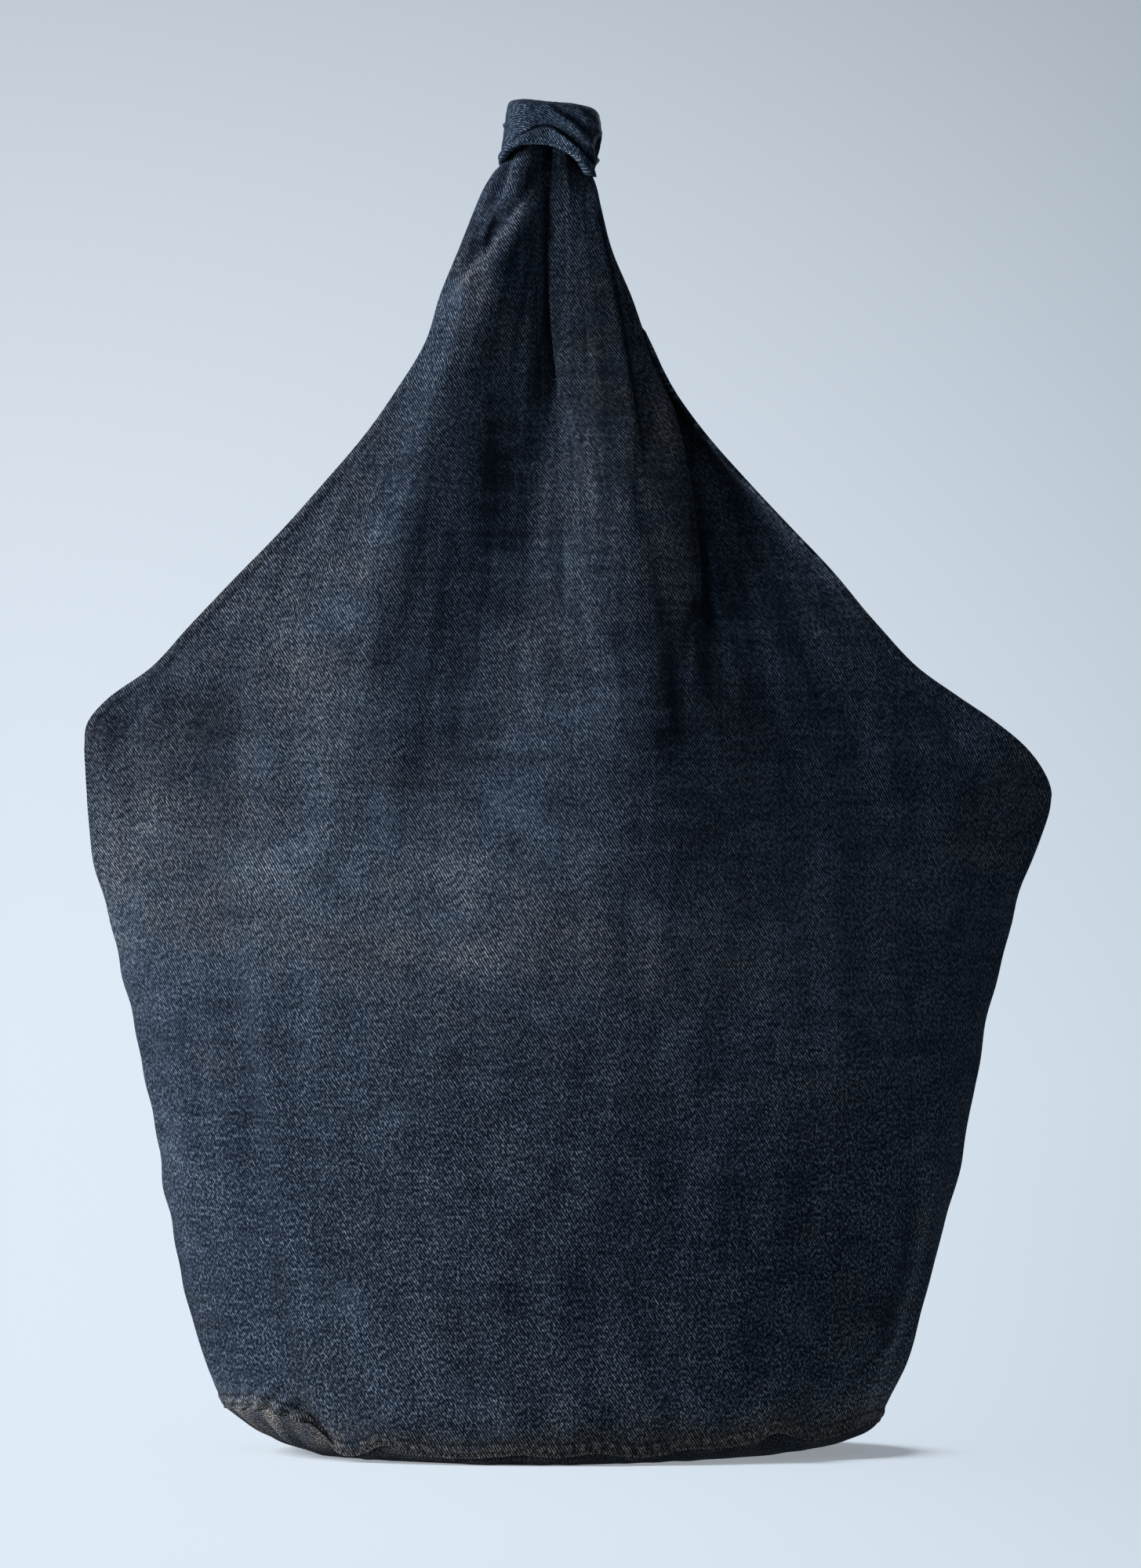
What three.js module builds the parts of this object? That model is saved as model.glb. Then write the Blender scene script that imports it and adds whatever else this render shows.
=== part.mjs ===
// A slouchy shoulder bag in washed denim. A front and a back panel are sewn together at the sides, up to two
// ears, and stand on an oval base. Above the ears their hemmed edges hang free, and both panels are gathered
// into one neck that a knotted wrap of the same cloth holds.
// Millimetres, +Z up, the front faces -Y, and the origin is on the floor under the middle of the base.
import * as THREE from 'three';
import { mergeVertices } from 'three/addons/utils/BufferGeometryUtils.js';

// Cloth thickness, the thickness of a turned hem, and the clearance between neighbouring pieces
const CLOTH = 1.5;
const HEM = 2.4;
const GAP = 0.3;

// Heights of the side seams' upper ends, left and right
const SEAM_TOP = { left: 388, right: 356 };

// The bag's section at each height: its left and right edges, the reach of its front and back from the plane
// of the side seams, and how pinched its ends are, from 1 for a round end to 2 for a wedge
const SECTIONS = [
  { z: 0, left: -168, right: 171, front: 90, back: 88, pinch: 1.0 },
  { z: 14, left: -174, right: 176, front: 94, back: 92, pinch: 1.0 },
  { z: 26, left: -182, right: 181.5, front: 98, back: 95, pinch: 1.0 },
  { z: 50, left: -192.5, right: 193, front: 102, back: 99, pinch: 1.0 },
  { z: 90, left: -204, right: 204, front: 106, back: 103, pinch: 1.0 },
  { z: 142, left: -213.4, right: 218.6, front: 108, back: 106, pinch: 1.0 },
  { z: 194, left: -222.9, right: 228.5, front: 108, back: 106, pinch: 1.0 },
  { z: 245, left: -234, right: 238.4, front: 105, back: 104, pinch: 1.05 },
  { z: 297, left: -247, right: 251, front: 99, back: 98, pinch: 1.15 },
  { z: 323, left: -254.5, right: 260, front: 95, back: 94, pinch: 1.25 },
  { z: 349, left: -257.3, right: 269.5, front: 90.5, back: 90, pinch: 1.4 },
  { z: 362, left: -258, right: 271, front: 88, back: 88, pinch: 1.5 },
  { z: 375, left: -258.7, right: 266, front: 85.5, back: 86, pinch: 1.6 },
  { z: 388, left: -259, right: 255, front: 83, back: 84, pinch: 1.65 },
  { z: 401, left: -256, right: 240, front: 80.5, back: 81, pinch: 1.65 },
  { z: 414, left: -244, right: 221, front: 78, back: 78, pinch: 1.6 },
  { z: 430, left: -222, right: 199, front: 74.5, back: 75, pinch: 1.55 },
  { z: 452, left: -201, right: 178, front: 70, back: 70, pinch: 1.5 },
  { z: 478, left: -177, right: 156, front: 64.5, back: 65, pinch: 1.45 },
  { z: 504, left: -152, right: 131, front: 59, back: 59, pinch: 1.4 },
  { z: 530, left: -129, right: 107, front: 53, back: 53, pinch: 1.3 },
  { z: 556, left: -106.5, right: 84, front: 47.5, back: 47, pinch: 1.2 },
  { z: 581, left: -88.5, right: 66, front: 42.5, back: 42, pinch: 1.1 },
  { z: 607, left: -72.3, right: 52, front: 37.5, back: 37, pinch: 1.0 },
  { z: 633, left: -63.5, right: 41.5, front: 33, back: 32, pinch: 1.0 },
  { z: 659, left: -53.5, right: 31.5, front: 28.5, back: 28, pinch: 1.0 },
  { z: 684, left: -43.5, right: 24.5, front: 24.5, back: 24, pinch: 1.0 },
  { z: 692, left: -40, right: 20.5, front: 23, back: 22.5, pinch: 1.0 },
  { z: 702, left: -34, right: 17, front: 20.5, back: 20, pinch: 1.0 },
  { z: 708, left: -27, right: 16, front: 19.5, back: 19, pinch: 1.0 },
  { z: 714, left: -24, right: 15, front: 19, back: 18.5, pinch: 1.0 },
  { z: 724, left: -22.5, right: 14.5, front: 18, back: 17.5, pinch: 1.0 },
];

// How far each free edge stands from the plane of the side seams, by its height above its seam's end
const MOUTH = [
  { rise: 0, apart: 0.15 },
  { rise: 14, apart: 7 },
  { rise: 34, apart: 19 },
  { rise: 70, apart: 28 },
  { rise: 130, apart: 34 },
  { rise: 190, apart: 28 },
  { rise: 250, apart: 14 },
  { rise: 300, apart: 4 },
  { rise: 340, apart: 2 },
  { rise: 400, apart: 2 },
];

// Height of the base seam by the turn about the base, from 0 at the right end through 90 at the back
const BASE_SEAM = [
  { turn: 0, z: 17 },
  { turn: 45, z: 12 },
  { turn: 90, z: 10 },
  { turn: 140, z: 13 },
  { turn: 180, z: 25 },
  { turn: 215, z: 16 },
  { turn: 270, z: 9 },
  { turn: 320, z: 10 },
  { turn: 360, z: 17 },
];

// How the front hangs as a tent from one crest: the tent's share of its form at each height, where the crest
// lies and how rounded it is
const CREST = [
  { z: 0, share: 0, x: 5, round: 0.3 },
  { z: 200, share: 0, x: 5, round: 0.3 },
  { z: 270, share: 0.35, x: 14, round: 0.3 },
  { z: 330, share: 0.85, x: 30, round: 0.18 },
  { z: 380, share: 1, x: 34, round: 0.1 },
  { z: 450, share: 1, x: 36, round: 0.1 },
  { z: 520, share: 0.9, x: 33, round: 0.12 },
  { z: 570, share: 0.5, x: 26, round: 0.2 },
  { z: 620, share: 0, x: 16, round: 0.3 },
  { z: 740, share: 0, x: 0, round: 0.3 },
];

// Folds of the panels: the places x, z of each fold's head, middle and foot, its depth at those places, and
// the widths of its left and right walls at the head and at the foot. A negative depth is a ridge.
const FRONT_FOLDS = [
  { name: 'centre crease', head: [-2.5, 715], mid: [-4, 650], foot: [8, 528], depth: [9, 10, 0], left: [6, 9], right: [4, 7] },
  { name: 'long valley', head: [-3, 715], mid: [-4, 560], foot: [-52, 350], depth: [4, 16, 6], left: [11, 52], right: [12, 58] },
  { name: 'left ridge', head: [-9, 700], mid: [-48, 610], foot: [-100, 420], depth: [-1.5, -5, -3], left: [12, 30], right: [8, 24] },
  { name: 'roll crest', head: [14, 678], mid: [24, 579], foot: [34, 400], depth: [0, -4, 0], left: [10, 30], right: [9, 30] },
  { name: 'inner crease', head: [25, 672], mid: [31, 627], foot: [45, 545], depth: [0, 4.5, 0], left: [7, 11], right: [5, 9] },
  { name: 'outer fold', head: [33, 655], mid: [66, 545], foot: [78, 380], depth: [2, 20, 0], left: [7, 16], right: [22, 90] },
  { name: 'right seam pucker', head: [262, 310], mid: [248, 270], foot: [236, 190], depth: [0, 3, 0], left: [16, 18], right: [12, 14] },
  { name: 'low right pucker', head: [196, 150], mid: [184, 70], foot: [160, 14], depth: [0, 4, 0], left: [15, 20], right: [12, 14] },
];
const BACK_FOLDS = [
  { name: 'centre crease', head: [6, 715], mid: [3, 640], foot: [-8, 500], depth: [10, 12, 0], left: [6, 16], right: [6, 14] },
  { name: 'left valley', head: [-22, 680], mid: [-50, 590], foot: [-84, 380], depth: [3, 9, 0], left: [10, 60], right: [10, 55] },
  { name: 'right valley', head: [18, 675], mid: [46, 560], foot: [92, 340], depth: [3, 10, 0], left: [9, 60], right: [12, 70] },
  { name: 'left roll', head: [-10, 676], mid: [-24, 590], foot: [-34, 420], depth: [0, -4, 0], left: [8, 36], right: [8, 36] },
];

// The knot: the middle and reach of its section, the rise of its crown, its wall and how boxy it is
const KNOT = { x: -3, y: 0, across: 28.4, deep: 27, crown: 8.5, wall: 3.2, boxy: 2.7 };

// The knot's lower hem and the shoulder of its top, by the turn from +X through the back at 90
const KNOT_EDGES = [
  { turn: 0, hem: 693, top: 723 },
  { turn: 45, hem: 695, top: 726 },
  { turn: 90, hem: 701, top: 729 },
  { turn: 135, hem: 708, top: 731 },
  { turn: 180, hem: 709.5, top: 731 },
  { turn: 230, hem: 714.5, top: 731 },
  { turn: 270, hem: 717, top: 730 },
  { turn: 300, hem: 711, top: 728 },
  { turn: 325, hem: 702, top: 725 },
  { turn: 360, hem: 693, top: 723 },
];

// The knot's folds as ridges: each runs from its left end by way of its middle to its right end, as x, z
// seen from its own side
const KNOT_FOLDS = [
  { name: 'hem roll', side: -1, left: [-31, 712], mid: [-4, 720.5], right: [22, 696], height: 2.4, width: 3.2 },
  { name: 'upper roll', side: -1, left: [-28, 726], mid: [4, 728.5], right: [24, 704], height: 2.6, width: 3 },
  { name: 'back roll', side: 1, left: [-31, 712], mid: [0, 706], right: [24, 697], height: 2, width: 4 },
  { name: 'back fold', side: 1, left: [-30, 727], mid: [0, 721], right: [24, 709], height: 2.4, width: 3.5 },
];

// Mesh sizes: a panel has its rows in bands, each up to a share of its height, closest at the ears and neck
const BANDS = [
  { upTo: 0.07, rows: 3 },
  { upTo: 0.45, rows: 8 },
  { upTo: 0.6, rows: 7 },
  { upTo: 0.88, rows: 8 },
  { upTo: 1, rows: 9 },
];
const FRONT_ACROSS = 30;
const BACK_ACROSS = 20;
const BASE_GRID = { around: 36, rings: 6 };
const KNOT_GRID = { around: 36, crown: 3, wall: 7 };

// Smooth value of one column of a table at one place, by a cubic through its rows
function along(table, place, key, at) {
  const last = table.length - 1;
  const clamped = Math.min(Math.max(at, table[0][place]), table[last][place]);
  let i = 0;
  while (i < last - 1 && clamped > table[i + 1][place]) {
    i += 1;
  }
  const slope = (j) => {
    const a = table[Math.max(j - 1, 0)];
    const b = table[Math.min(j + 1, last)];
    return (b[key] - a[key]) / (b[place] - a[place]);
  };
  const from = table[i];
  const to = table[i + 1];
  const span = to[place] - from[place];
  const t = (clamped - from[place]) / span;
  const rise = to[key] - from[key];
  const bend = t * (1 - t) * ((1 - t) * (slope(i) * span - rise) - t * (slope(i + 1) * span - rise));
  return from[key] + rise * t + bend;
}

// Smooth step from 0 to 1
function smooth(t) {
  const c = Math.min(Math.max(t, 0), 1);
  return c * c * (3 - 2 * c);
}

// Value of a fold's three-part column at t, 0 at its head, 0.5 at its middle and 1 at its foot
function blend3(values, t) {
  const [a, b, c] = values;
  return t < 0.5 ? a + (b - a) * smooth(2 * t) : b + (c - b) * smooth(2 * t - 1);
}

// Depth of one fold at a place: its wave across the fold line, faded in and out beyond the line's ends
function foldDepth(fold, x, z) {
  const [headX, headZ] = fold.head;
  const [midX, midZ] = fold.mid;
  const [footX, footZ] = fold.foot;
  const t = z > midZ ? 0.5 * (headZ - z) / (headZ - midZ) : 0.5 + 0.5 * (midZ - z) / (midZ - footZ);
  const inside = Math.min(Math.max(t, 0), 1);
  // The line is a quadratic curve through its three places, read by its height
  const height = Math.min(Math.max(z, footZ), headZ);
  const a = (height - midZ) * (height - footZ) / ((headZ - midZ) * (headZ - footZ));
  const b = (height - headZ) * (height - footZ) / ((midZ - headZ) * (midZ - footZ));
  const c = (height - headZ) * (height - midZ) / ((footZ - headZ) * (footZ - midZ));
  const line = a * headX + b * midX + c * footX;
  const offset = x - line;
  const walls = offset < 0 ? fold.left : fold.right;
  const width = walls[0] + (walls[1] - walls[0]) * inside;
  const wave = Math.exp(-((offset / width) ** 2));
  const fade = smooth((t + 0.25) / 0.25) * smooth((1.25 - t) / 0.25);
  return blend3(fold.depth, inside) * wave * fade;
}

// Height of the base seam at a turn in radians
function seamHeight(turn) {
  const degrees = THREE.MathUtils.euclideanModulo(THREE.MathUtils.radToDeg(turn), 360);
  return along(BASE_SEAM, 'turn', 'z', degrees);
}

// The front's tent form from 0 at its edges to 1 at its crest, with the crest rounded
function tentRise(x, left, right, z) {
  const crest = along(CREST, 'z', 'x', z);
  const round = along(CREST, 'z', 'round', z);
  const t = x < crest ? (crest - x) / (crest - left) : (x - crest) / (right - crest);
  return 1 - (Math.hypot(t, round) - round) / (Math.hypot(1, round) - round);
}

// A place on a panel's outer face. The turn runs from 0 at the right edge to pi at the left, side is -1 for
// the front and 1 for the back, and the rise is 0 at the base seam and 1 at the top.
function panelPlace(side, folds, turn, rise) {
  const low = seamHeight(side * turn);
  const high = SECTIONS[SECTIONS.length - 1].z;
  const z = low + (high - low) * rise;
  const left = along(SECTIONS, 'z', 'left', z);
  const right = along(SECTIONS, 'z', 'right', z);
  const reach = along(SECTIONS, 'z', side < 0 ? 'front' : 'back', z);
  const pinch = along(SECTIONS, 'z', 'pinch', z);
  const x = (left + right) / 2 + (right - left) / 2 * Math.cos(turn);
  const toRight = (1 + Math.cos(turn)) / 2;
  const edge = along(MOUTH, 'rise', 'apart', z - SEAM_TOP.left) * (1 - toRight)
    + along(MOUTH, 'rise', 'apart', z - SEAM_TOP.right) * toRight;
  const tent = side < 0 ? along(CREST, 'z', 'share', z) : 0;
  const crown = (1 - tent) * Math.sin(turn) ** pinch + tent * tentRise(x, left, right, z);
  // Folds fade out at the edges, so that the seams and hems stay where they are
  const within = smooth(Math.sin(turn) * 2.4);
  let depth = 0;
  for (const fold of folds) {
    depth += foldDepth(fold, x, z);
  }
  return new THREE.Vector3(x, side * (edge + (reach - edge) * crown - depth * within), z);
}

// The rises of a panel's rows, band by band
function rowRises() {
  const rises = [0];
  let from = 0;
  for (const band of BANDS) {
    for (let i = 1; i <= band.rows; i += 1) {
      rises.push(from + (band.upTo - from) * i / band.rows);
    }
    from = band.upTo;
  }
  return rises;
}

// Normal at a grid place, from its neighbours along the row and the column
function gridNormal(places, i, j) {
  const rows = places.length - 1;
  const columns = places[0].length - 1;
  const across = places[i][Math.min(j + 1, columns)].clone().sub(places[i][Math.max(j - 1, 0)]);
  const up = places[Math.min(i + 1, rows)][j].clone().sub(places[Math.max(i - 1, 0)][j]);
  return across.cross(up).normalize();
}

// Closed sheet from an outer and an inner grid of places: two faces and a rim round their four edges
function sheetGeometry(outer, inner) {
  const positions = [];
  const quad = (a, b, c, d) => {
    for (const v of [a, b, c, a, c, d]) {
      positions.push(v.x, v.y, v.z);
    }
  };
  const rows = outer.length - 1;
  const columns = outer[0].length - 1;
  for (let i = 0; i < rows; i += 1) {
    for (let j = 0; j < columns; j += 1) {
      quad(outer[i][j], outer[i][j + 1], outer[i + 1][j + 1], outer[i + 1][j]);
      quad(inner[i][j], inner[i + 1][j], inner[i + 1][j + 1], inner[i][j + 1]);
    }
  }
  for (let j = 0; j < columns; j += 1) {
    quad(inner[0][j], inner[0][j + 1], outer[0][j + 1], outer[0][j]);
    quad(outer[rows][j], outer[rows][j + 1], inner[rows][j + 1], inner[rows][j]);
  }
  for (let i = 0; i < rows; i += 1) {
    quad(outer[i][0], outer[i + 1][0], inner[i + 1][0], inner[i][0]);
    quad(inner[i][columns], inner[i + 1][columns], outer[i + 1][columns], outer[i][columns]);
  }
  return solidGeometry(positions);
}

// Geometry with shared vertices merged, so that it is one closed solid
function solidGeometry(positions) {
  const loose = new THREE.BufferGeometry();
  loose.setAttribute('position', new THREE.Float32BufferAttribute(positions, 3));
  const solid = mergeVertices(loose, 1e-3);
  solid.computeVertexNormals();
  return solid;
}

// One panel of the bag: its outer face, and an inner face a cloth's thickness inside it. The inner face never
// crosses the plane of the side seams.
function panelGeometry(side, folds, across) {
  const outer = rowRises().map((rise) => {
    const row = [];
    for (let j = 0; j <= across; j += 1) {
      const turn = Math.PI * (side < 0 ? 1 - j / across : j / across);
      row.push(panelPlace(side, folds, turn, rise));
    }
    return row;
  });
  const inner = outer.map((row, i) => row.map((place, j) => {
    const atEdge = j === 0 || j === across;
    const seamTop = place.x < 0 ? SEAM_TOP.left : SEAM_TOP.right;
    const hemmed = atEdge && place.z > seamTop;
    const normal = gridNormal(outer, i, j);
    if (atEdge && !hemmed) {
      normal.set(Math.sign(place.x), 0, 0);
    }
    const inside = place.clone().addScaledVector(normal, -(hemmed ? HEM : CLOTH));
    inside.y = side * Math.max(side * inside.y, GAP / 2);
    return inside;
  }));
  return sheetGeometry(outer, inner);
}

// A place on the base's outer face: flat on the floor in the middle, then rolled up to the seam
function basePlace(turn, ring) {
  const side = Math.sin(turn) < 0 ? -1 : 1;
  const rim = panelPlace(side, [], Math.abs(Math.atan2(Math.sin(turn), Math.cos(turn))), 0);
  const flat = 0.92 - 0.12 * Math.cos(turn) ** 2 - 0.13 * Math.max(-Math.cos(turn), 0) ** 2;
  if (ring <= 0.5) {
    return new THREE.Vector3(rim.x * flat * 2 * ring, rim.y * flat * 2 * ring, 0);
  }
  const roll = (2 * ring - 1) * Math.PI * 0.44;
  const end = Math.PI * 0.44;
  const reach = flat + (1 - flat) * Math.sin(roll) / Math.sin(end);
  const lift = (rim.z - GAP) * (1 - Math.cos(roll)) / (1 - Math.cos(end));
  return new THREE.Vector3(rim.x * reach, rim.y * reach, lift);
}

// The oval base: a dish of one cloth, with an outer and an inner face and a rim under the seam
function baseGeometry() {
  const { around, rings } = BASE_GRID;
  const outer = [];
  for (let i = 0; i <= rings; i += 1) {
    const row = [];
    for (let j = 0; j < around; j += 1) {
      row.push(basePlace(2 * Math.PI * j / around, i / rings));
    }
    outer.push(row);
  }
  const inner = outer.map((row, i) => row.map((place, j) => {
    if (i === 0) {
      return place.clone().setZ(CLOTH);
    }
    const tangent = row[(j + 1) % around].clone().sub(row[(j + around - 1) % around]);
    const outward = outer[Math.min(i + 1, rings)][j].clone().sub(outer[i - 1][j]);
    const normal = outward.cross(tangent).normalize();
    if (i === rings) {
      normal.setZ(0).normalize();
    }
    return place.clone().addScaledVector(normal, CLOTH);
  }));
  return bowlGeometry(outer, inner);
}

// Closed bowl from rings of places that start at a pole: outer face, inner face and the rim between them
function bowlGeometry(outer, inner) {
  const positions = [];
  const face = (...corners) => {
    for (const v of corners) {
      positions.push(v.x, v.y, v.z);
    }
  };
  const rings = outer.length - 1;
  const around = outer[0].length;
  for (let j = 0; j < around; j += 1) {
    const k = (j + 1) % around;
    face(outer[0][0], outer[1][k], outer[1][j]);
    face(inner[0][0], inner[1][j], inner[1][k]);
    for (let i = 1; i < rings; i += 1) {
      face(outer[i][j], outer[i][k], outer[i + 1][k]);
      face(outer[i][j], outer[i + 1][k], outer[i + 1][j]);
      face(inner[i][j], inner[i + 1][k], inner[i][k]);
      face(inner[i][j], inner[i + 1][j], inner[i + 1][k]);
    }
    face(outer[rings][j], outer[rings][k], inner[rings][k]);
    face(outer[rings][j], inner[rings][k], inner[rings][j]);
  }
  return solidGeometry(positions);
}

// Height of the knot's outer face above its plain form at a place: the sum of its ridges on that side
function knotRelief(x, z, side) {
  let relief = 0;
  for (const fold of KNOT_FOLDS) {
    if (fold.side !== side) {
      continue;
    }
    const reach = fold.right[0] - fold.left[0];
    const t = (x - fold.left[0]) / reach;
    const bulge = fold.mid[1] - (fold.left[1] + fold.right[1]) / 2;
    const line = fold.left[1] + (fold.right[1] - fold.left[1]) * t + bulge * 4 * t * (1 - t);
    relief += fold.height * Math.exp(-(((z - line) / fold.width) ** 2)) * smooth(8 * t) * smooth(8 * (1 - t));
  }
  return relief;
}

// A place on a ring of the knot, its wall set inwards by inset. The crown's rings roll from the middle of the
// top to the shoulder, and the wall's go straight down from there to the hem.
function knotPlace(turn, ring, inset) {
  const degrees = THREE.MathUtils.euclideanModulo(THREE.MathUtils.radToDeg(turn), 360);
  const hem = along(KNOT_EDGES, 'turn', 'hem', degrees);
  const shoulder = along(KNOT_EDGES, 'turn', 'top', degrees);
  const cos = Math.cos(turn);
  const sin = Math.sin(turn);
  const boxy = (Math.abs(cos) ** KNOT.boxy + Math.abs(sin) ** KNOT.boxy) ** (-1 / KNOT.boxy);
  const roll = Math.min(ring / KNOT_GRID.crown, 1) * Math.PI / 2;
  const drop = Math.max(ring - KNOT_GRID.crown, 0) / KNOT_GRID.wall;
  const reach = Math.sin(roll) ** 0.8;
  const x = KNOT.x + (KNOT.across - inset) * boxy * cos * reach;
  const y = KNOT.y + (KNOT.deep - inset) * boxy * sin * reach;
  const top = shoulder + (KNOT.crown - inset * 0.8) * Math.cos(roll);
  const z = top + (hem - shoulder) * drop;
  const side = sin < 0 ? -1 : 1;
  const relief = inset > 0 ? 0 : knotRelief(x, z, side) * Math.abs(sin) ** 0.7 * reach;
  return new THREE.Vector3(x, y + side * relief, z);
}

// The knotted wrap: a cap of cloth that the gathered neck goes up into
function knotGeometry() {
  const ringsOf = (inset) => {
    const out = [];
    for (let i = 0; i <= KNOT_GRID.crown + KNOT_GRID.wall; i += 1) {
      const row = [];
      for (let j = 0; j < KNOT_GRID.around; j += 1) {
        row.push(knotPlace(-2 * Math.PI * j / KNOT_GRID.around, i, inset));
      }
      out.push(row);
    }
    return out;
  };
  return bowlGeometry(ringsOf(0), ringsOf(KNOT.wall));
}

// Cloth material in one of the bag's shades
function denim(colour) {
  return new THREE.MeshStandardMaterial({ color: colour, roughness: 0.9, metalness: 0 });
}

const bag = new THREE.Group();
const pieces = [
  ['front_panel', panelGeometry(-1, FRONT_FOLDS, FRONT_ACROSS), 0x2c3644],
  ['back_panel', panelGeometry(1, BACK_FOLDS, BACK_ACROSS), 0x2a3341],
  ['base_panel', baseGeometry(), 0x2d2f33],
  ['knot_wrap', knotGeometry(), 0x334152],
];
for (const [name, geometry, colour] of pieces) {
  const mesh = new THREE.Mesh(geometry, denim(colour));
  mesh.name = name;
  bag.add(mesh);
}

export default bag;
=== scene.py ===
"""A slouchy shoulder bag in washed, over-dyed denim, standing on its base with its neck tied in a knot.

Every cloth piece is a surface of two parameters worked out with numpy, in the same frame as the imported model:
the front faces -Y and the floor is z = 0. The tables give millimetres, and meshes are written in metres. The
panels' tables follow the ones that shape the solids, with small forms added that only the finish shows.
"""
import math

import bpy
import numpy as np
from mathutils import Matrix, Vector


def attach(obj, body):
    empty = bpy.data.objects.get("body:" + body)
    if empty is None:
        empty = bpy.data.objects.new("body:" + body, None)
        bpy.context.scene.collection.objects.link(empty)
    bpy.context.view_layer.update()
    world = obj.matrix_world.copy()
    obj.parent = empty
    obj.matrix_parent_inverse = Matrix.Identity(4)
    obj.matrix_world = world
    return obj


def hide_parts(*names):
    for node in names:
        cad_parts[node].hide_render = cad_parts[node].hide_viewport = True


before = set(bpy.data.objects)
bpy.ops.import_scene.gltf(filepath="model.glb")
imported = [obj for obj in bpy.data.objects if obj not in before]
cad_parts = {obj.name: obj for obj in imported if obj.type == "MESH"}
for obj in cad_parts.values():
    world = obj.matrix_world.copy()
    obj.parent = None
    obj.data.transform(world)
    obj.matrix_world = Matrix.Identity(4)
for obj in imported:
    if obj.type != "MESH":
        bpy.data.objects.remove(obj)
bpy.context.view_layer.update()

MM = 0.001

# Cloth thickness, turned hem thickness, how far a hem is turned, and the space between sewn pieces
CLOTH = 1.1
HEM = 2.3
HEM_TURN = 6.0
GAP = 0.3

# How far above the base seam its two stitched rows lie and its folded strip reaches, and how far above the
# knot's hem its row lies
LOWER_ROW = 1.9
UPPER_ROW = 7.4
SEAM_STRIP = 8.6
KNOT_ROW = 3.4

# Heights where the side seams end and the free, hemmed edges begin, and where the hems end in the gathers
SEAM_TOP = {"left": 388, "right": 356}
HEM_END = 618

# The gathers fan out from a point this high, and are at their own width at the second height
FAN_TOP = 800
FAN_WIDE = 420

# How far apart the base seam's puckers lie, and the ropes of the turned hem and of the knot's
PUCKER_PITCH = 8.3
HEM_ROPES = 5.6
KNOT_ROPES = 2.3

# Soft waves over the cloth: how many, the longest, the shortest, and how far they are drawn out
RIPPLES = (26, 120, 28, 2.2)
WRINKLES = (24, 30, 12, 1.3)
FANNED_WAVES = (26, 70, 20, 5)
FANNED_STREAKS = (40, 50, 7, 6)
SIDE_BUMPS = (14, 90, 22)
BASE_WRINKLES = (20, 60, 14)
KNOT_WRINKLES = (20, 16, 6)

# Sections of the bag by height: left and right edges, reach of front and back, and how pinched the ends are
SECTION_COLUMNS = ("z", "left", "right", "front", "back", "pinch")
SECTIONS = np.array([
    (0, -168, 171, 90, 88, 1.0),
    (14, -174, 176, 94, 92, 1.0),
    (26, -182, 181.5, 98, 95, 1.0),
    (50, -192.5, 193, 102, 99, 1.0),
    (90, -204, 204, 106, 103, 1.0),
    (142, -213.4, 218.6, 108, 106, 1.0),
    (194, -222.9, 228.5, 108, 106, 1.0),
    (245, -234, 238.4, 105, 104, 1.05),
    (297, -247, 252, 99, 98, 1.15),
    (323, -254.5, 261.6, 95, 94, 1.25),
    (349, -257.3, 271, 90.5, 90, 1.4),
    (362, -258, 271.8, 88, 88, 1.5),
    (375, -258.7, 266, 85.5, 86, 1.6),
    (388, -259, 255, 83, 84, 1.65),
    (401, -256, 238.6, 80.5, 81, 1.65),
    (414, -243.4, 219.2, 78, 78, 1.6),
    (430, -220.6, 196.8, 74.5, 75, 1.55),
    (452, -200, 176, 70, 70, 1.5),
    (478, -175, 152.8, 64.5, 65, 1.45),
    (504, -149.4, 127, 59, 59, 1.4),
    (530, -126.2, 102.6, 53, 53, 1.3),
    (556, -104.2, 80, 47.5, 47, 1.2),
    (581, -86.8, 62.6, 42.5, 42, 1.1),
    (607, -71.4, 50.6, 37.5, 37, 1.0),
    (633, -63.5, 41.5, 33, 32, 1.0),
    (659, -53.2, 30.8, 28.5, 28, 1.0),
    (684, -43.5, 24.5, 24.5, 24, 1.0),
    (692, -40, 22.8, 23, 22.5, 1.0),
    (698, -36.5, 20.8, 21.5, 21, 1.0),
    (703, -33, 18.2, 20.5, 20, 1.0),
    (708, -27, 16, 19.5, 19, 1.0),
    (714, -24, 15, 19, 18.5, 1.0),
    (724, -22.5, 14.5, 18, 17.5, 1.0),
])

# How far a free edge stands from the plane of the side seams, by its height above its seam's end
MOUTH = np.array([
    (0, 0.15), (14, 7), (34, 19), (70, 28), (130, 34), (190, 28), (250, 14), (300, 4), (340, 2), (400, 2),
])

# How the front hangs as a tent from one crest: its share at each height, the crest's x and its rounding
CREST = np.array([
    (0, 0, 5, 0.3), (200, 0, 5, 0.3), (270, 0.35, 14, 0.3), (330, 0.85, 30, 0.18), (380, 1, 34, 0.1),
    (450, 1, 36, 0.1), (520, 0.9, 33, 0.12), (570, 0.5, 26, 0.2), (620, 0, 16, 0.3), (740, 0, 0, 0.3),
])

# The base seam's height by the turn about the base in degrees, along the back
BACK_SEAM = np.array([(0, 17), (45, 12), (90, 10), (140, 13), (180, 25)])

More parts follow.
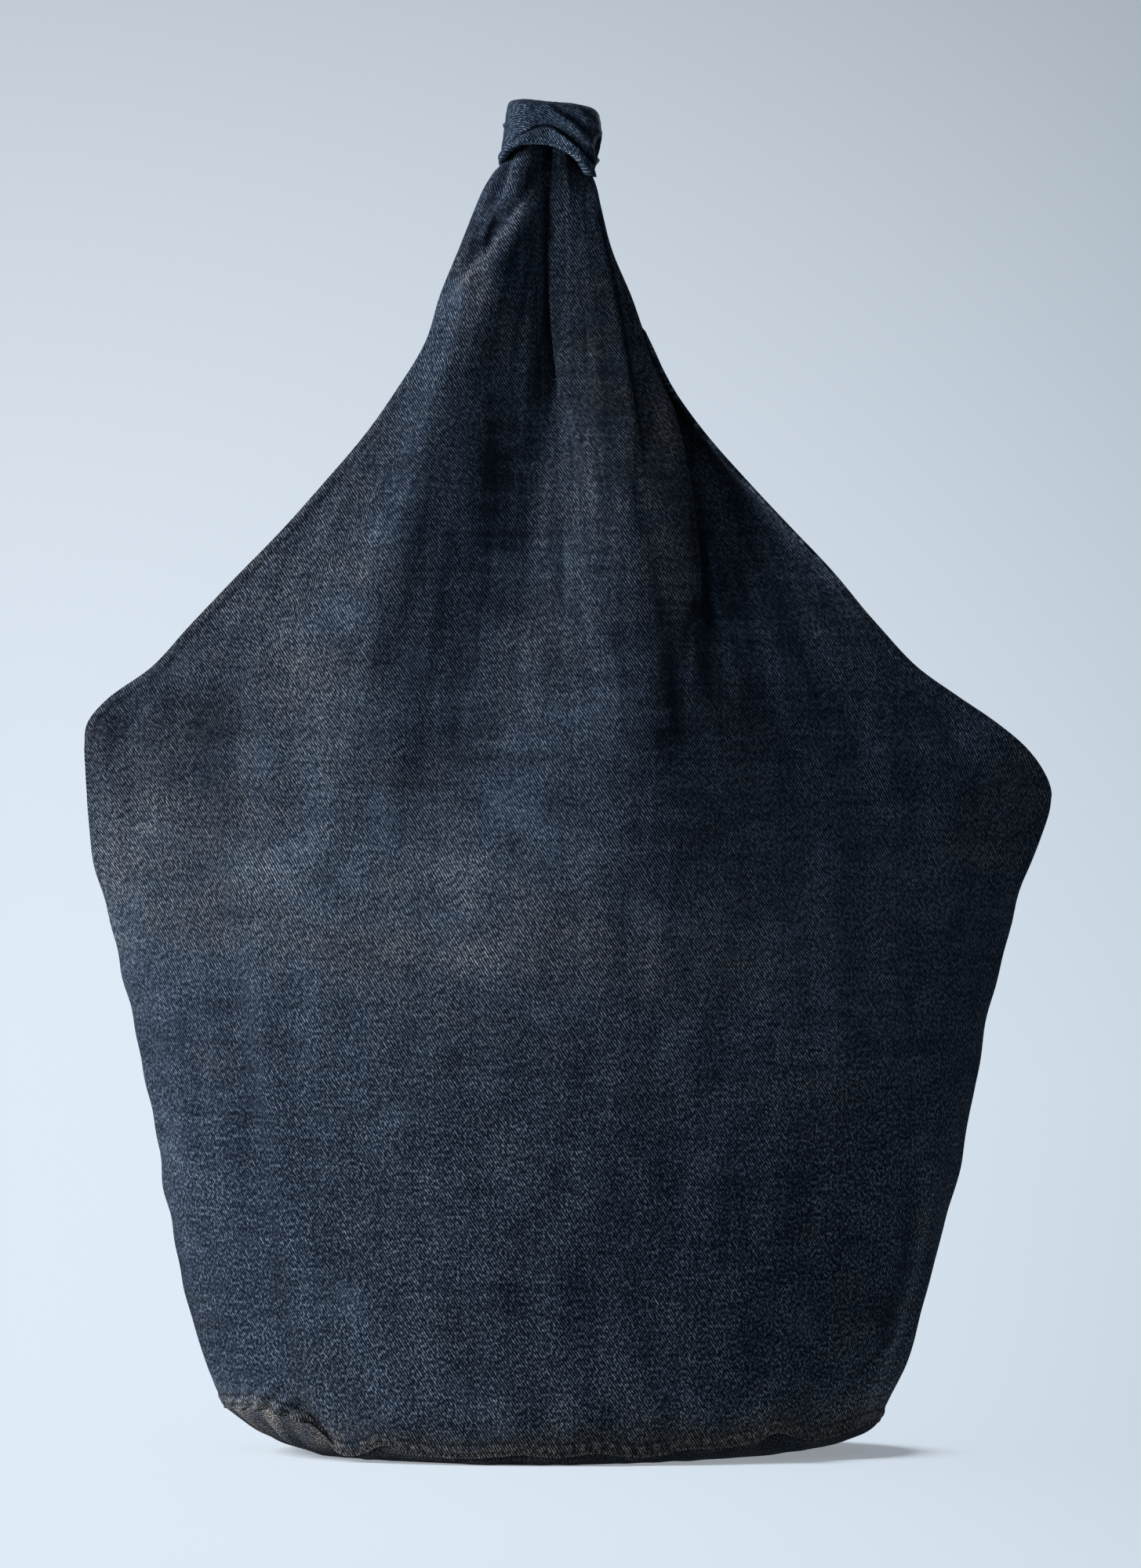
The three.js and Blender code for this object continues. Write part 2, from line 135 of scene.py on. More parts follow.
# The front's wavy lower edge by x, from the left corner to the right one
FRONT_SEAM = np.array([
    (-180, 24.5), (-172, 26), (-161, 27.2), (-150, 25.5), (-136, 21.5), (-130, 19), (-126, 15.5), (-122.5, 10),
    (-119, 6.2), (-113, 3.4), (-105, 4.2), (-100, 6.4), (-95, 9.2), (-89, 9.8), (-83, 7.6), (-77, 5.4),
    (-68, 4.4), (-48, 3.6), (-30, 4.8), (-17, 5.8), (-1, 4.2), (12, 5.4), (23, 6.6), (35, 5.2), (47, 4.2),
    (59, 6), (71, 8.4), (84, 8.2), (101, 10), (110, 12), (115, 15.4), (120, 16.4), (127, 14), (135, 11.2),
    (143, 10.8), (151, 12.2), (161, 15), (170, 16.4), (180, 17),
])

# Share of the base's reach that lies flat on the floor, by turn, and the turn of its left front corner
BASE_FLAT = np.array([
    (0, 0.62), (45, 0.84), (90, 0.92), (135, 0.86), (180, 0.71), (222, 0.77), (265, 0.94), (300, 0.74),
    (330, 0.62), (360, 0.62),
])
LEFT_CORNER = 208


def make_fold(line, depth, left, right, lip=(0, 0), marks=(), fade=0.25):
    """A fold: x, z of its line's head, middle and foot, its depth there (a ridge is negative), the widths of its
    left and right walls at head and foot, how far each lip leans over it, its lines of painted highlight and
    shade, some also browned, as how far beside it, width, how much lighter and how brown, and how long a share
    above its head it fades in."""
    return {"line": line, "depth": depth, "left": left, "right": right, "lip": lip, "marks": marks, "fade": fade}


FRONT_FOLDS = {
    "centre crease": make_fold(((-2.5, 715), (-4, 650), (8, 528)), (9, 11, 0), (6, 9), (4, 7), (0.25, 0.9)),
    "long valley": make_fold(((-3, 715), (-4, 560), (-52, 350)), (4, 16, 6), (11, 52), (12, 58)),
    "left ridge": make_fold(((-9, 700), (-48, 610), (-100, 420)), (-2, -5, -3), (9, 30), (7, 24)),
    "slanting pleat": make_fold(((-10, 697), (-36, 661), (-60, 633)), (2, 6.5, 1), (6, 10), (4, 6), (0, 0.55),
        ((4, 3.5, 0.9, 0.5), (-5, 5, -0.35, 0), (16, 7, -0.4, 0))),
    "roll crest": make_fold(((14, 678), (24, 579), (34, 400)), (0, -4, 0), (10, 30), (9, 30)),
    "inner crease": make_fold(((23, 676), (36, 617), (48, 530)), (2.5, 4.5, 0.5), (3.5, 8), (5, 9), (0.9, 0),
        ((-2.5, 1.5, 0.45, 0.4), (0.8, 1.2, -0.8, 0), (8, 6, -0.25, 0.8))),
    "outer fold": make_fold(((50, 611), (68, 545), (75, 418)), (13, 20, 0), (6, 13), (20, 95), (1.25, 0),
        ((-3.5, 1.8, 0.8, 0.3), (-18, 11, 0.1, 0.5), (5, 3, -0.6, 0), (20, 16, 0.1, 0)), fade=0.08),
    "right seam pucker": make_fold(((262, 310), (248, 270), (236, 190)), (0, 3, 0), (16, 18), (12, 14)),
    "low right pucker": make_fold(((196, 150), (184, 70), (160, 14)), (0, 4.5, 1), (15, 16), (9, 8), (0, 0.4),
        ((-4, 5, -0.5, 0), (5, 4, 0.7, 0.3))),
    "upper tuck": make_fold(((-24, 708), (-29, 694), (-37, 678)), (3, 3.5, 0), (4.5, 6), (3, 4), (0, 0.4),
        ((2.5, 1.8, 0.7, 0.1), (-2.5, 2.5, -0.5, 0))),
    "side pucker": make_fold(((255, 290), (243, 262), (236, 240)), (0, 1.6, 0), (5, 6), (4, 4)),
    "long side pucker": make_fold(((229, 200), (221, 180), (212, 168)), (0, 1.4, 0), (5, 6), (4, 4)),
    "corner pucker": make_fold(((184, 66), (163, 44), (152, 24)), (0.5, 3, 2), (7, 8), (5, 5),
        marks=((0, 2.5, -0.6, 0), (5, 2.5, 0.6, 0.3))),
    "outer corner pucker": make_fold(((194, 62), (178, 40), (170, 25)), (0.5, 1.8, 1), (5, 6), (4, 4)),
    "seam rise": make_fold(((132, 60), (122, 36), (118, 18)), (0, -1.4, -2.6), (10, 9), (9, 8)),
    "left corner pucker": make_fold(((-160, 62), (-138, 36), (-124, 14)), (0, 2.5, 4.5), (10, 7), (8, 5)),
    "left corner roll": make_fold(((-176, 44), (-158, 34), (-140, 24)), (0, -2.5, -2), (8, 8), (8, 8)),
}
BACK_FOLDS = {
    "centre crease": make_fold(((6, 715), (3, 640), (-8, 500)), (10, 12, 0), (6, 16), (6, 14), (0.6, 0.3)),
    "left valley": make_fold(((-22, 680), (-50, 590), (-84, 380)), (3, 9, 0), (10, 60), (10, 55)),
    "right valley": make_fold(((18, 675), (46, 560), (92, 340)), (3, 10, 0), (9, 60), (12, 70)),
    "left roll": make_fold(((-10, 676), (-24, 590), (-34, 420)), (0, -4, 0), (8, 36), (8, 36)),
    "right crease": make_fold(((22, 690), (34, 640), (58, 540)), (1, 4, 0), (4, 10), (5, 9), (0.5, 0)),
}

# Worn and stained places as x, z, radii across and along, lean in degrees, how much lighter, and how brown. On
# the front a few of them paint shadow, shade and highlight.
FRONT_STAINS_AND_PAINTED_LIGHT = np.array([
    # The neck and the crest below it: first a painted shadow under the knot, and third the left ridge's pale brown
    # crest line, partly worn and partly a painted highlight
    (5, 707, 9, 8, 0, -0.7, 0.0), (-15, 677, 9, 14, 0, 0.4, 0.0), (-44, 640, 8, 36, -38, 0.5, 1.3),
    (-15, 615, 8, 44, 0, -0.5, 0.0), (21, 596, 11, 84, -6, -0.35, 0.9), (12, 530, 28, 72, 0, -0.4, 0.5),
    (-8, 512, 16, 50, 0, 0.3, 0.0), (25, 440, 11, 36, 0, 0.35, 0.0),
    # The long valley and the left ridge
    (-34, 542, 15, 60, -6, -0.8, 0.1), (-64, 545, 20, 24, -30, 0.35, 0.0), (-66, 462, 26, 66, -14, -0.6, 0.0),
    (-88, 438, 18, 32, -14, -0.35, 0.0), (-105, 500, 26, 60, -35, 0.5, 0.2), (-138, 418, 35, 92, -22, 1.0, 0.1),
    # The outer fold and the hollow to its right, where painted shade darkens the hollow
    (58, 560, 14, 28, -14, 0.35, 0.0), (60, 474, 14, 54, -8, -0.4, 0.5), (62, 412, 18, 62, -6, -0.5, 0.0),
    (94, 480, 24, 52, -22, -0.7, 0.0), (112, 466, 16, 26, -20, -0.35, 0.0), (125, 388, 34, 44, -20, -0.3, 0.0),
    # The left ear and the worn places below it
    (-200, 408, 30, 22, 20, -0.35, 0.2), (-188, 348, 20, 32, 0, -0.3, 0.4), (-215, 341, 34, 34, 0, 0.4, 0.5),
    (-243, 305, 22, 60, 0, 0.75, 0.3), (-162, 393, 14, 14, 0, 0.35, 0.0), (-156, 320, 34, 22, 10, 0.7, 0.1),
    (-120, 309, 12, 13, 0, -0.4, 0.0), (-92, 362, 26, 30, -20, -0.45, 0.1),
    # The right ear
    (200, 402, 22, 15, -24, -0.45, 0.0), (252, 362, 14, 22, 0, 0.1, 0.8), (230, 328, 24, 9, 0, 0.5, 0.9),
    (204, 308, 34, 26, 0, 0.35, 0.0),
    # The brown band across the middle, with its two pale spots
    (-30, 290, 150, 36, 0, 0.45, 0.35), (-42, 272, 17, 11, 0, 1.3, 0.6), (-52, 318, 12, 14, 0, 1.0, 0.3),
    (-120, 276, 60, 12, 4, 0.25, 0.7), (56, 271, 60, 20, 0, 0.35, 0.8), (104, 246, 26, 24, 0, 0.35, 0.0),
    (-60, 215, 120, 16, 3, -0.1, 0.1), (118, 205, 60, 10, -4, 0.3, 0.5),
    # The lower half
    (-175, 120, 60, 110, 10, -0.28, 0.0), (-125, 130, 70, 80, 0, 0.15, -0.2), (-36, 174, 14, 19, 0, 0.35, 0.0),
    (30, 112, 42, 42, -10, -0.35, 0.0), (168, 130, 34, 60, 0, 0.4, 0.2), (173, 82, 9, 20, -10, -0.6, 0.0),
    # The lower corners and the base seam
    (-165, 27, 22, 8, 10, 1.4, 0.3), (-130, 16, 20, 8, 0, 0.4, 1.0), (160, 60, 26, 40, -30, 0.25, 0.4),
    (184, 42, 22, 24, 24, 1.1, 0.4), (39, 45, 60, 26, 0, 0.4, 0.3), (60, 24, 120, 18, -3, 0.3, 0.3),
    (112, 27, 34, 12, -5, 0.5, 0.0), (112, 15, 70, 12, -5, 1.0, 0.6), (0, 7, 240, 13, 0, 0.0, 1.3),
])
BACK_STAINS = np.array([
    (-150, 300, 60, 80, 12, 0.5, 0.1), (120, 390, 50, 80, -14, 0.45, 0.1), (-40, 240, 130, 30, 0, 0.35, 0.5),
    (90, 180, 60, 30, 8, -0.25, 0.2), (10, 560, 30, 80, 0, -0.3, 0.5), (200, 330, 40, 30, 0, 0.5, 0.8),
    (-190, 390, 30, 26, 0, -0.3, 0.5), (0, 8, 240, 17, 0, -0.05, 1.0),
])

# The knot: reach of its front and back, rise of its crown, wall, how boxy it is, and the x of its hem's middle and
# half its width; its edges by height, its back hem and its shoulder by the turn about it in degrees, and its
# front hem by x
KNOT = {"deep": 26.5, "crown": 4.2, "wall": 3.0, "boxy": 3.2, "middle": -4, "half": 27.5}
KNOT_SIDES = np.array([
    (690, -31, 19), (696, -31.5, 19.4), (702, -31.6, 20.6), (709, -30.9, 22.6), (716, -29.6, 24.2),
    (723, -28.6, 25), (729, -27.8, 24.4), (735, -27, 23), (743, -25.4, 21),
])
KNOT_BACK_HEM = np.array([(0, 699), (45, 700), (90, 702), (135, 705), (180, 707)])
KNOT_FRONT_HEM = np.array([
    (-32, 707), (-28.5, 711), (-24, 713.8), (-15.5, 714.9), (-7, 714.6), (-1.5, 713.6), (5, 711.4), (10, 709),
    (14.5, 706.3), (18.3, 702.8), (21, 700.2), (23.5, 699),
])
KNOT_SHOULDER = np.array([
    (0, 733), (45, 734), (90, 735.2), (135, 737.4), (180, 738.8), (225, 737.6), (270, 735), (300, 734),
    (330, 733.4), (360, 733),
])

# The knot's fold edges as x, z along each line, the height of the edge, and how far the fold rounds off below
# and above the line
KNOT_FRONT_FOLDS = {
    "hem band": {
        "line": ((-31, 711), (-24, 716), (-17.5, 719.4), (-9.3, 723), (-2.2, 723.3), (3, 719.9), (8.1, 715.8),
                 (13.2, 711), (17.3, 705.6), (20, 698)),
        "height": (0.8, 2.0, 3.2, 3.2, 1.6), "below": 3.6, "above": 0.75},
    "second fold": {
        "line": ((-9, 738.5), (-5.2, 736), (-1.1, 732.7), (4.5, 728.6), (10.7, 724), (15.8, 717.9), (18.9, 711.7),
                 (20.6, 705), (21.4, 698)),
        "height": (0.0, 1.0, 2.6, 2.8, 1.4), "below": 3.0, "above": 1.6},
    "lobe": {
        "line": ((11.5, 735), (13.8, 733), (17.3, 729.6), (21, 726), (26, 721)),
        "height": (0.2, 1.0, 1.6, 1.4, 1.0), "below": 3.2, "above": 0.8},
}
KNOT_BACK_FOLDS = {
    "back band": {
        "line": ((-31, 712), (-20, 708), (0, 705.5), (14, 700), (26, 696)),
        "height": (1.2, 2.2, 2.4, 2.2, 1.4), "below": 3.0, "above": 0.8},
    "back fold": {
        "line": ((-30, 729), (-14, 726), (0, 721), (14, 714), (26, 708)),
        "height": (1.0, 2.0, 2.4, 2.2, 1.4), "below": 3.4, "above": 0.9},
}
# How far the cloth above the hem band lies turned from the band's
KNOT_SWING = math.radians(26)

# The weave: how far apart its twill lines lie, and their angle to the weft
TWILL_PITCH = 1.37
TWILL_ANGLE = math.radians(58)


def curve(table, at, column=1):
    """Smooth values of a table's column at places along its first one: a cubic through its rows, with each
    row's slope taken from the rows either side of it."""
    places, values = table[:, 0], table[:, column]
    at = np.clip(at, places[0], places[-1])
    i = np.clip(np.searchsorted(places, at) - 1, 0, len(places) - 2)
    before = np.maximum(np.arange(len(places)) - 1, 0)
    after = np.minimum(np.arange(len(places)) + 1, len(places) - 1)
    slope = (values[after] - values[before]) / (places[after] - places[before])
    span = places[i + 1] - places[i]
    rise = values[i + 1] - values[i]
    t = (at - places[i]) / span
    bend = t * (1 - t) * ((1 - t) * (slope[i] * span - rise) - t * (slope[i + 1] * span - rise))
    return values[i] + rise * t + bend


def section(column, z):
    """One column of the bag's sections at height z."""
    return curve(SECTIONS, z, SECTION_COLUMNS.index(column))


def smooth(t):
    """The step t * t * (3 - 2t), from 0 to 1."""
    c = np.clip(t, 0, 1)
    return c * c * (3 - 2 * c)


def bell(offset, width):
    """The bell exp(-(offset / width) ** 2)."""
    return np.exp(-(offset / width) ** 2)


def wave(at, pitch, phase=0):
    """The sine wave sin(2 pi at / pitch + phase)."""
    return np.sin(2 * math.pi * at / pitch + phase)


def fold_line(fold, z):
    """Where a fold's line runs at height z, and how far along it that is: 0 at its head and 1 at its foot."""
    (head_x, head_z), (mid_x, mid_z), (foot_x, foot_z) = fold["line"]
    t = np.where(z > mid_z, 0.5 * (head_z - z) / (head_z - mid_z), 0.5 + 0.5 * (mid_z - z) / (mid_z - foot_z))
    h = np.clip(z, foot_z, head_z)
    a = (h - mid_z) * (h - foot_z) / ((head_z - mid_z) * (head_z - foot_z))
    b = (h - head_z) * (h - foot_z) / ((mid_z - head_z) * (mid_z - foot_z))
    c = (h - head_z) * (h - mid_z) / ((foot_z - head_z) * (foot_z - mid_z))
    return a * head_x + b * mid_x + c * foot_x, t


def fold_wave(fold, x, z):
    """A fold's depth and sideways pull at x, z: a bell across its line, with lips that lean over the fold."""
    line, t = fold_line(fold, z)
    inside = np.clip(t, 0, 1)
    left = fold["left"][0] + (fold["left"][1] - fold["left"][0]) * inside
    right = fold["right"][0] + (fold["right"][1] - fold["right"][0]) * inside
    offset = x - line
    width = np.where(offset < 0, left, right)
    head, mid, foot = fold["depth"]
    depth = np.where(inside < 0.5, head + (mid - head) * smooth(2 * inside),
                     mid + (foot - mid) * smooth(2 * inside - 1))
    depth = depth * smooth((t + fold["fade"]) / fold["fade"]) * smooth((1.25 - t) / 0.25)
    share = smooth(2.5 * np.abs(depth) / np.abs(fold["depth"]).max())
    q = offset / width
    lip = np.where(q < 0, fold["lip"][0], -fold["lip"][1]) * bell(np.abs(q) - 1.1, 0.5)
    return depth * bell(q, 1), lip * width * share


def lower_edge(side, turn):
    """Height of the base seam at a turn in radians: by turn along the back and by x along the front."""
    if side > 0:
        return curve(BACK_SEAM, np.degrees(turn))
    z = np.full(np.shape(turn), 12.0)
    for _ in range(3):
        left, right = section("left", z), section("right", z)
        z = curve(FRONT_SEAM, (left + right) / 2 + (right - left) / 2 * np.cos(turn))
    return z


def tent(x, left, right, z):
    """The front's tent form: from 0 at its edges, straight to 1 at its crest, with the crest rounded."""
    crest, rounding = curve(CREST, z, 2), curve(CREST, z, 3)
    t = np.where(x < crest, (crest - x) / (crest - left), (x - crest) / (right - crest))
    return 1 - (np.hypot(t, rounding) - rounding) / (np.hypot(1, rounding) - rounding)


def panel_places(side, folds, turn, rise):
    """A panel's outer face: x = middle + half width * cos(turn), y = the edge's own reach plus the crown (a
    blend of sin(turn) ** pinch and the tent) less the folds' depth, and z from the base seam up. Also the x
    that each place had before the folds' lips pulled it."""
    low, high = lower_edge(side, turn), SECTIONS[-1, 0]
    z = low + (high - low) * rise
    left, right = section("left", z), section("right", z)
    reach = section("front" if side < 0 else "back", z)
    cosine, sine = np.cos(turn), np.clip(np.sin(turn), 0, 1)
    x = (left + right) / 2 + (right - left) / 2 * cosine
    to_right = (1 + cosine) / 2
    edge = (curve(MOUTH, z - SEAM_TOP["left"]) * (1 - to_right) + curve(MOUTH, z - SEAM_TOP["right"]) * to_right)
    crown = sine ** section("pinch", z)
    if side < 0:
        share = curve(CREST, z)
        crown = (1 - share) * crown + share * tent(x, left, right, z)
    within = smooth(sine * 2.4)
    depth, pull = np.zeros_like(z), np.zeros_like(z)
    for fold in folds.values():
        fold_depth, fold_pull = fold_wave(fold, x, z)
        depth += fold_depth
        pull += fold_pull
    y = side * (edge + (reach - edge) * crown - depth * within)
    pulled = np.clip(x + pull * within, left + 0.3 * (x - left), right - 0.3 * (right - x))
    return np.stack([pulled, y, z], axis=-1), x


def column_turns(count, places):
    """Turns from 0 to pi whose steps are shorter near each place (cosine, width, extra density)."""
    fine = np.linspace(0, math.pi, 4001)
    weight = 1 + sum(extra * bell(np.cos(fine) - cosine, width) for cosine, width, extra in places)
    steps = np.concatenate([[0], np.cumsum((weight[1:] + weight[:-1]) / 2)])
    return np.interp(np.linspace(0, steps[-1], count + 1), steps, fine)


def row_rises(bands):
    """Rises from 0 to 1 in bands of (upper end, rows)."""
    ends = [0.0] + [end for end, _ in bands]
    parts = [np.linspace(a, b, rows + 1)[1:] for a, b, (_, rows) in zip(ends, ends[1:], bands)]
    return np.concatenate([[0.0], *parts])


def grid_normals(places, closed=False):
    """Unit normals of a grid of places: the step along the row crossed with the step from row to row. Rows of
    a closed grid join up."""
    if closed:
        across = np.roll(places, -1, axis=1) - np.roll(places, 1, axis=1)
    else:
        across = np.gradient(places, axis=1)
    normal = np.cross(across, np.gradient(places, axis=0))
    return normal / np.maximum(np.linalg.norm(normal, axis=-1, keepdims=True), 1e-9)


def row_lengths(places):
    """Length along each row of a grid, from its first column to each column."""
    steps = np.linalg.norm(np.diff(places, axis=1), axis=-1)
    return np.concatenate([np.zeros((len(places), 1)), np.cumsum(steps, axis=1)], axis=1)


def soft_waves(u, v, seed, count, longest, shortest, stretch=1.0):
    """Sum of count sine waves of random direction and phase, with lengths between longest and shortest, drawn
    out along v by stretch, of about unit height."""
    draw = np.random.default_rng(seed)
    total = np.zeros(np.broadcast(u, v).shape)
    for _ in range(count):
        length = shortest * (longest / shortest) ** draw.random()
        angle, phase = draw.random() * math.pi, draw.random() * 2 * math.pi
        total += wave(u * math.cos(angle) + v * math.sin(angle) / stretch, length, phase)
    return total / math.sqrt(count / 2)


def stains_and_painted_light(table, x, z):
    """How much lighter the cloth is at x, z, from wear and from painted shadow, shade and highlight, and how brown:
    the sum of a table's leaning bells.
    """
    wear_and_painted_light, brown = np.zeros_like(x), np.zeros_like(x)
    for cx, cz, rx, rz, lean, lighter, browner in table:
        c, s = math.cos(math.radians(lean)), math.sin(math.radians(lean))
        across, along = (x - cx) * c - (z - cz) * s, (x - cx) * s + (z - cz) * c
        spot = np.exp(-((across / rx) ** 2 + (along / rz) ** 2) ** 0.8)
        wear_and_painted_light += lighter * spot
        brown += browner * spot
    return wear_and_painted_light, brown


def add_object(name, data):
    """New object of some data, linked to the scene."""
    thing = bpy.data.objects.new(name, data)
    bpy.context.scene.collection.objects.link(thing)
    return thing


def make_mesh(name, places, quads, triangles=None, cloth=None, marks=None, second=None, period=0):
    """Mesh object from an array of places in millimetres and arrays of corner numbers. cloth is each place's
    position on the flat cloth and period its jump round a closed piece, marks are named values of each place,
    and second is 1 for the faces of the second material."""
    triangles = np.zeros((0, 3), dtype=np.int32) if triangles is None else triangles
    mesh = bpy.data.meshes.new(name)
    corners = np.concatenate([quads.ravel(), triangles.ravel()]).astype(np.int32)
    starts = np.concatenate([np.arange(len(quads)) * 4, 4 * len(quads) + np.arange(len(triangles)) * 3])
    mesh.vertices.add(len(places))
    mesh.vertices.foreach_set("co", (places * MM).astype(np.float32).ravel())
    mesh.loops.add(len(corners))
    mesh.loops.foreach_set("vertex_index", corners)
    mesh.polygons.add(len(starts))
    mesh.polygons.foreach_set("loop_start", starts.astype(np.int32))
    if second is not None:
        mesh.polygons.foreach_set("material_index", second.astype(np.int32))
    mesh.update(calc_edges=True)
    if cloth is not None:
        uv = [cloth[quads], cloth[triangles]]
        if period:
            for part in uv:
                highest = part[..., 0].max(axis=1, keepdims=True)
                part[..., 0] += period * (highest - part[..., 0] > period / 2)
        uv = np.concatenate([part.reshape(-1, 2) for part in uv])
        mesh.uv_layers.new(name="cloth").data.foreach_set("uv", (uv * MM).astype(np.float32).ravel())
    for key, values in (marks or {}).items():
        mark = mesh.attributes.new(name=key, type="FLOAT", domain="POINT")
        mark.data.foreach_set("value", values.astype(np.float32).ravel())
    mesh.shade_smooth()
    return add_object(name, mesh)


def grid_quads(numbers, closed=False, flip=False):
    """Corner numbers of the quads of a grid of place numbers."""
    if closed:
        numbers = np.concatenate([numbers, numbers[:, :1]], axis=1)
    quads = np.stack([numbers[:-1, :-1], numbers[:-1, 1:], numbers[1:, 1:], numbers[1:, :-1]], axis=-1)
    quads = quads.reshape(-1, 4)
    return quads[:, ::-1] if flip else quads


def rim_triangles(fine, coarse, flip):
    """Triangles between an edge of the outer grid and the inner grid's, which has half as many steps."""
    a, b, c, p, q = fine[0:-1:2], fine[1::2], fine[2::2], coarse[:-1], coarse[1:]
    rim = np.concatenate([np.stack(corners, axis=1) for corners in ((a, b, p), (b, q, p), (b, c, q))])
    return rim[:, ::-1] if flip else rim


def cloth_mesh(name, outer, inner, cloth, marks, closed=False, period=0):
    """Closed solid sheet from an outer grid with even numbers of steps and an inner grid with half of them.
    A closed grid's rows join up, and its first row is drawn together to a pole."""
    count = outer.shape[0] * outer.shape[1]
    outer_at = np.arange(count).reshape(outer.shape[:2])
    inner_at = count + np.arange(inner.shape[0] * inner.shape[1]).reshape(inner.shape[:2])
    outer_quads = grid_quads(outer_at, closed)
    inner_quads = grid_quads(inner_at, closed, flip=True)
    places = np.concatenate([outer.reshape(-1, 3), inner.reshape(-1, 3)])
    uv = np.concatenate([cloth.reshape(-1, 2), cloth[::2, ::2].reshape(-1, 2)])
    values = {key: np.concatenate([mark.ravel(), mark[::2, ::2].ravel()]) for key, mark in marks.items()}
    if closed:
        around = np.concatenate([outer_at, outer_at[:, :1]], axis=1)
        inside = np.concatenate([inner_at, inner_at[:, :1]], axis=1)
        poles = len(places) + np.arange(2)
        places = np.concatenate([places, outer[:1].mean(axis=1), inner[:1].mean(axis=1)])
        uv = np.concatenate([uv, cloth[:1].mean(axis=1), cloth[:1].mean(axis=1)])
        values = {key: np.concatenate([mark, mark[:1], mark[:1]]) for key, mark in values.items()}
        top = np.stack([np.full(outer.shape[1], poles[0]), around[0, 1:], around[0, :-1]], axis=1)
        under = np.stack([np.full(inner.shape[1], poles[1]), inside[0, :-1], inside[0, 1:]], axis=1)
        rims = [top, under, rim_triangles(around[-1], inside[-1], False)]
        triangle_second = np.repeat([0, 1, 0], [len(part) for part in rims])
    else:
        rims = [
            rim_triangles(outer_at[0], inner_at[0], True),
            rim_triangles(outer_at[-1], inner_at[-1], False),
            rim_triangles(outer_at[:, 0], inner_at[:, 0], False),
            rim_triangles(outer_at[:, -1], inner_at[:, -1], True),
        ]
        triangle_second = np.zeros(sum(len(part) for part in rims))
    second = np.concatenate([np.zeros(len(outer_quads)), np.ones(len(inner_quads)), triangle_second])
    quads = np.concatenate([outer_quads, inner_quads])
    return make_mesh(name, places, quads, np.concatenate(rims), uv, values, second, period)


def edge_slant(key, z):
    """Cosine of a panel edge's lean at height z, which turns lengths along a row into lengths square to the
    edge."""
    lean = (section(key, z + 2) - section(key, z - 2)) / 4
    return 1 / np.hypot(1, lean)


def side_bumps(left, z):
    """Soft bumps down a side seam, the same on both panels: sine waves of z that fade towards its ends."""
    waves = np.where(left, soft_waves(z, 0 * z, 71, *SIDE_BUMPS), soft_waves(z, 0 * z, 72, *SIDE_BUMPS))
    return 0.55 * waves * smooth((350 - z) / 60) * smooth((z - 50) / 60)


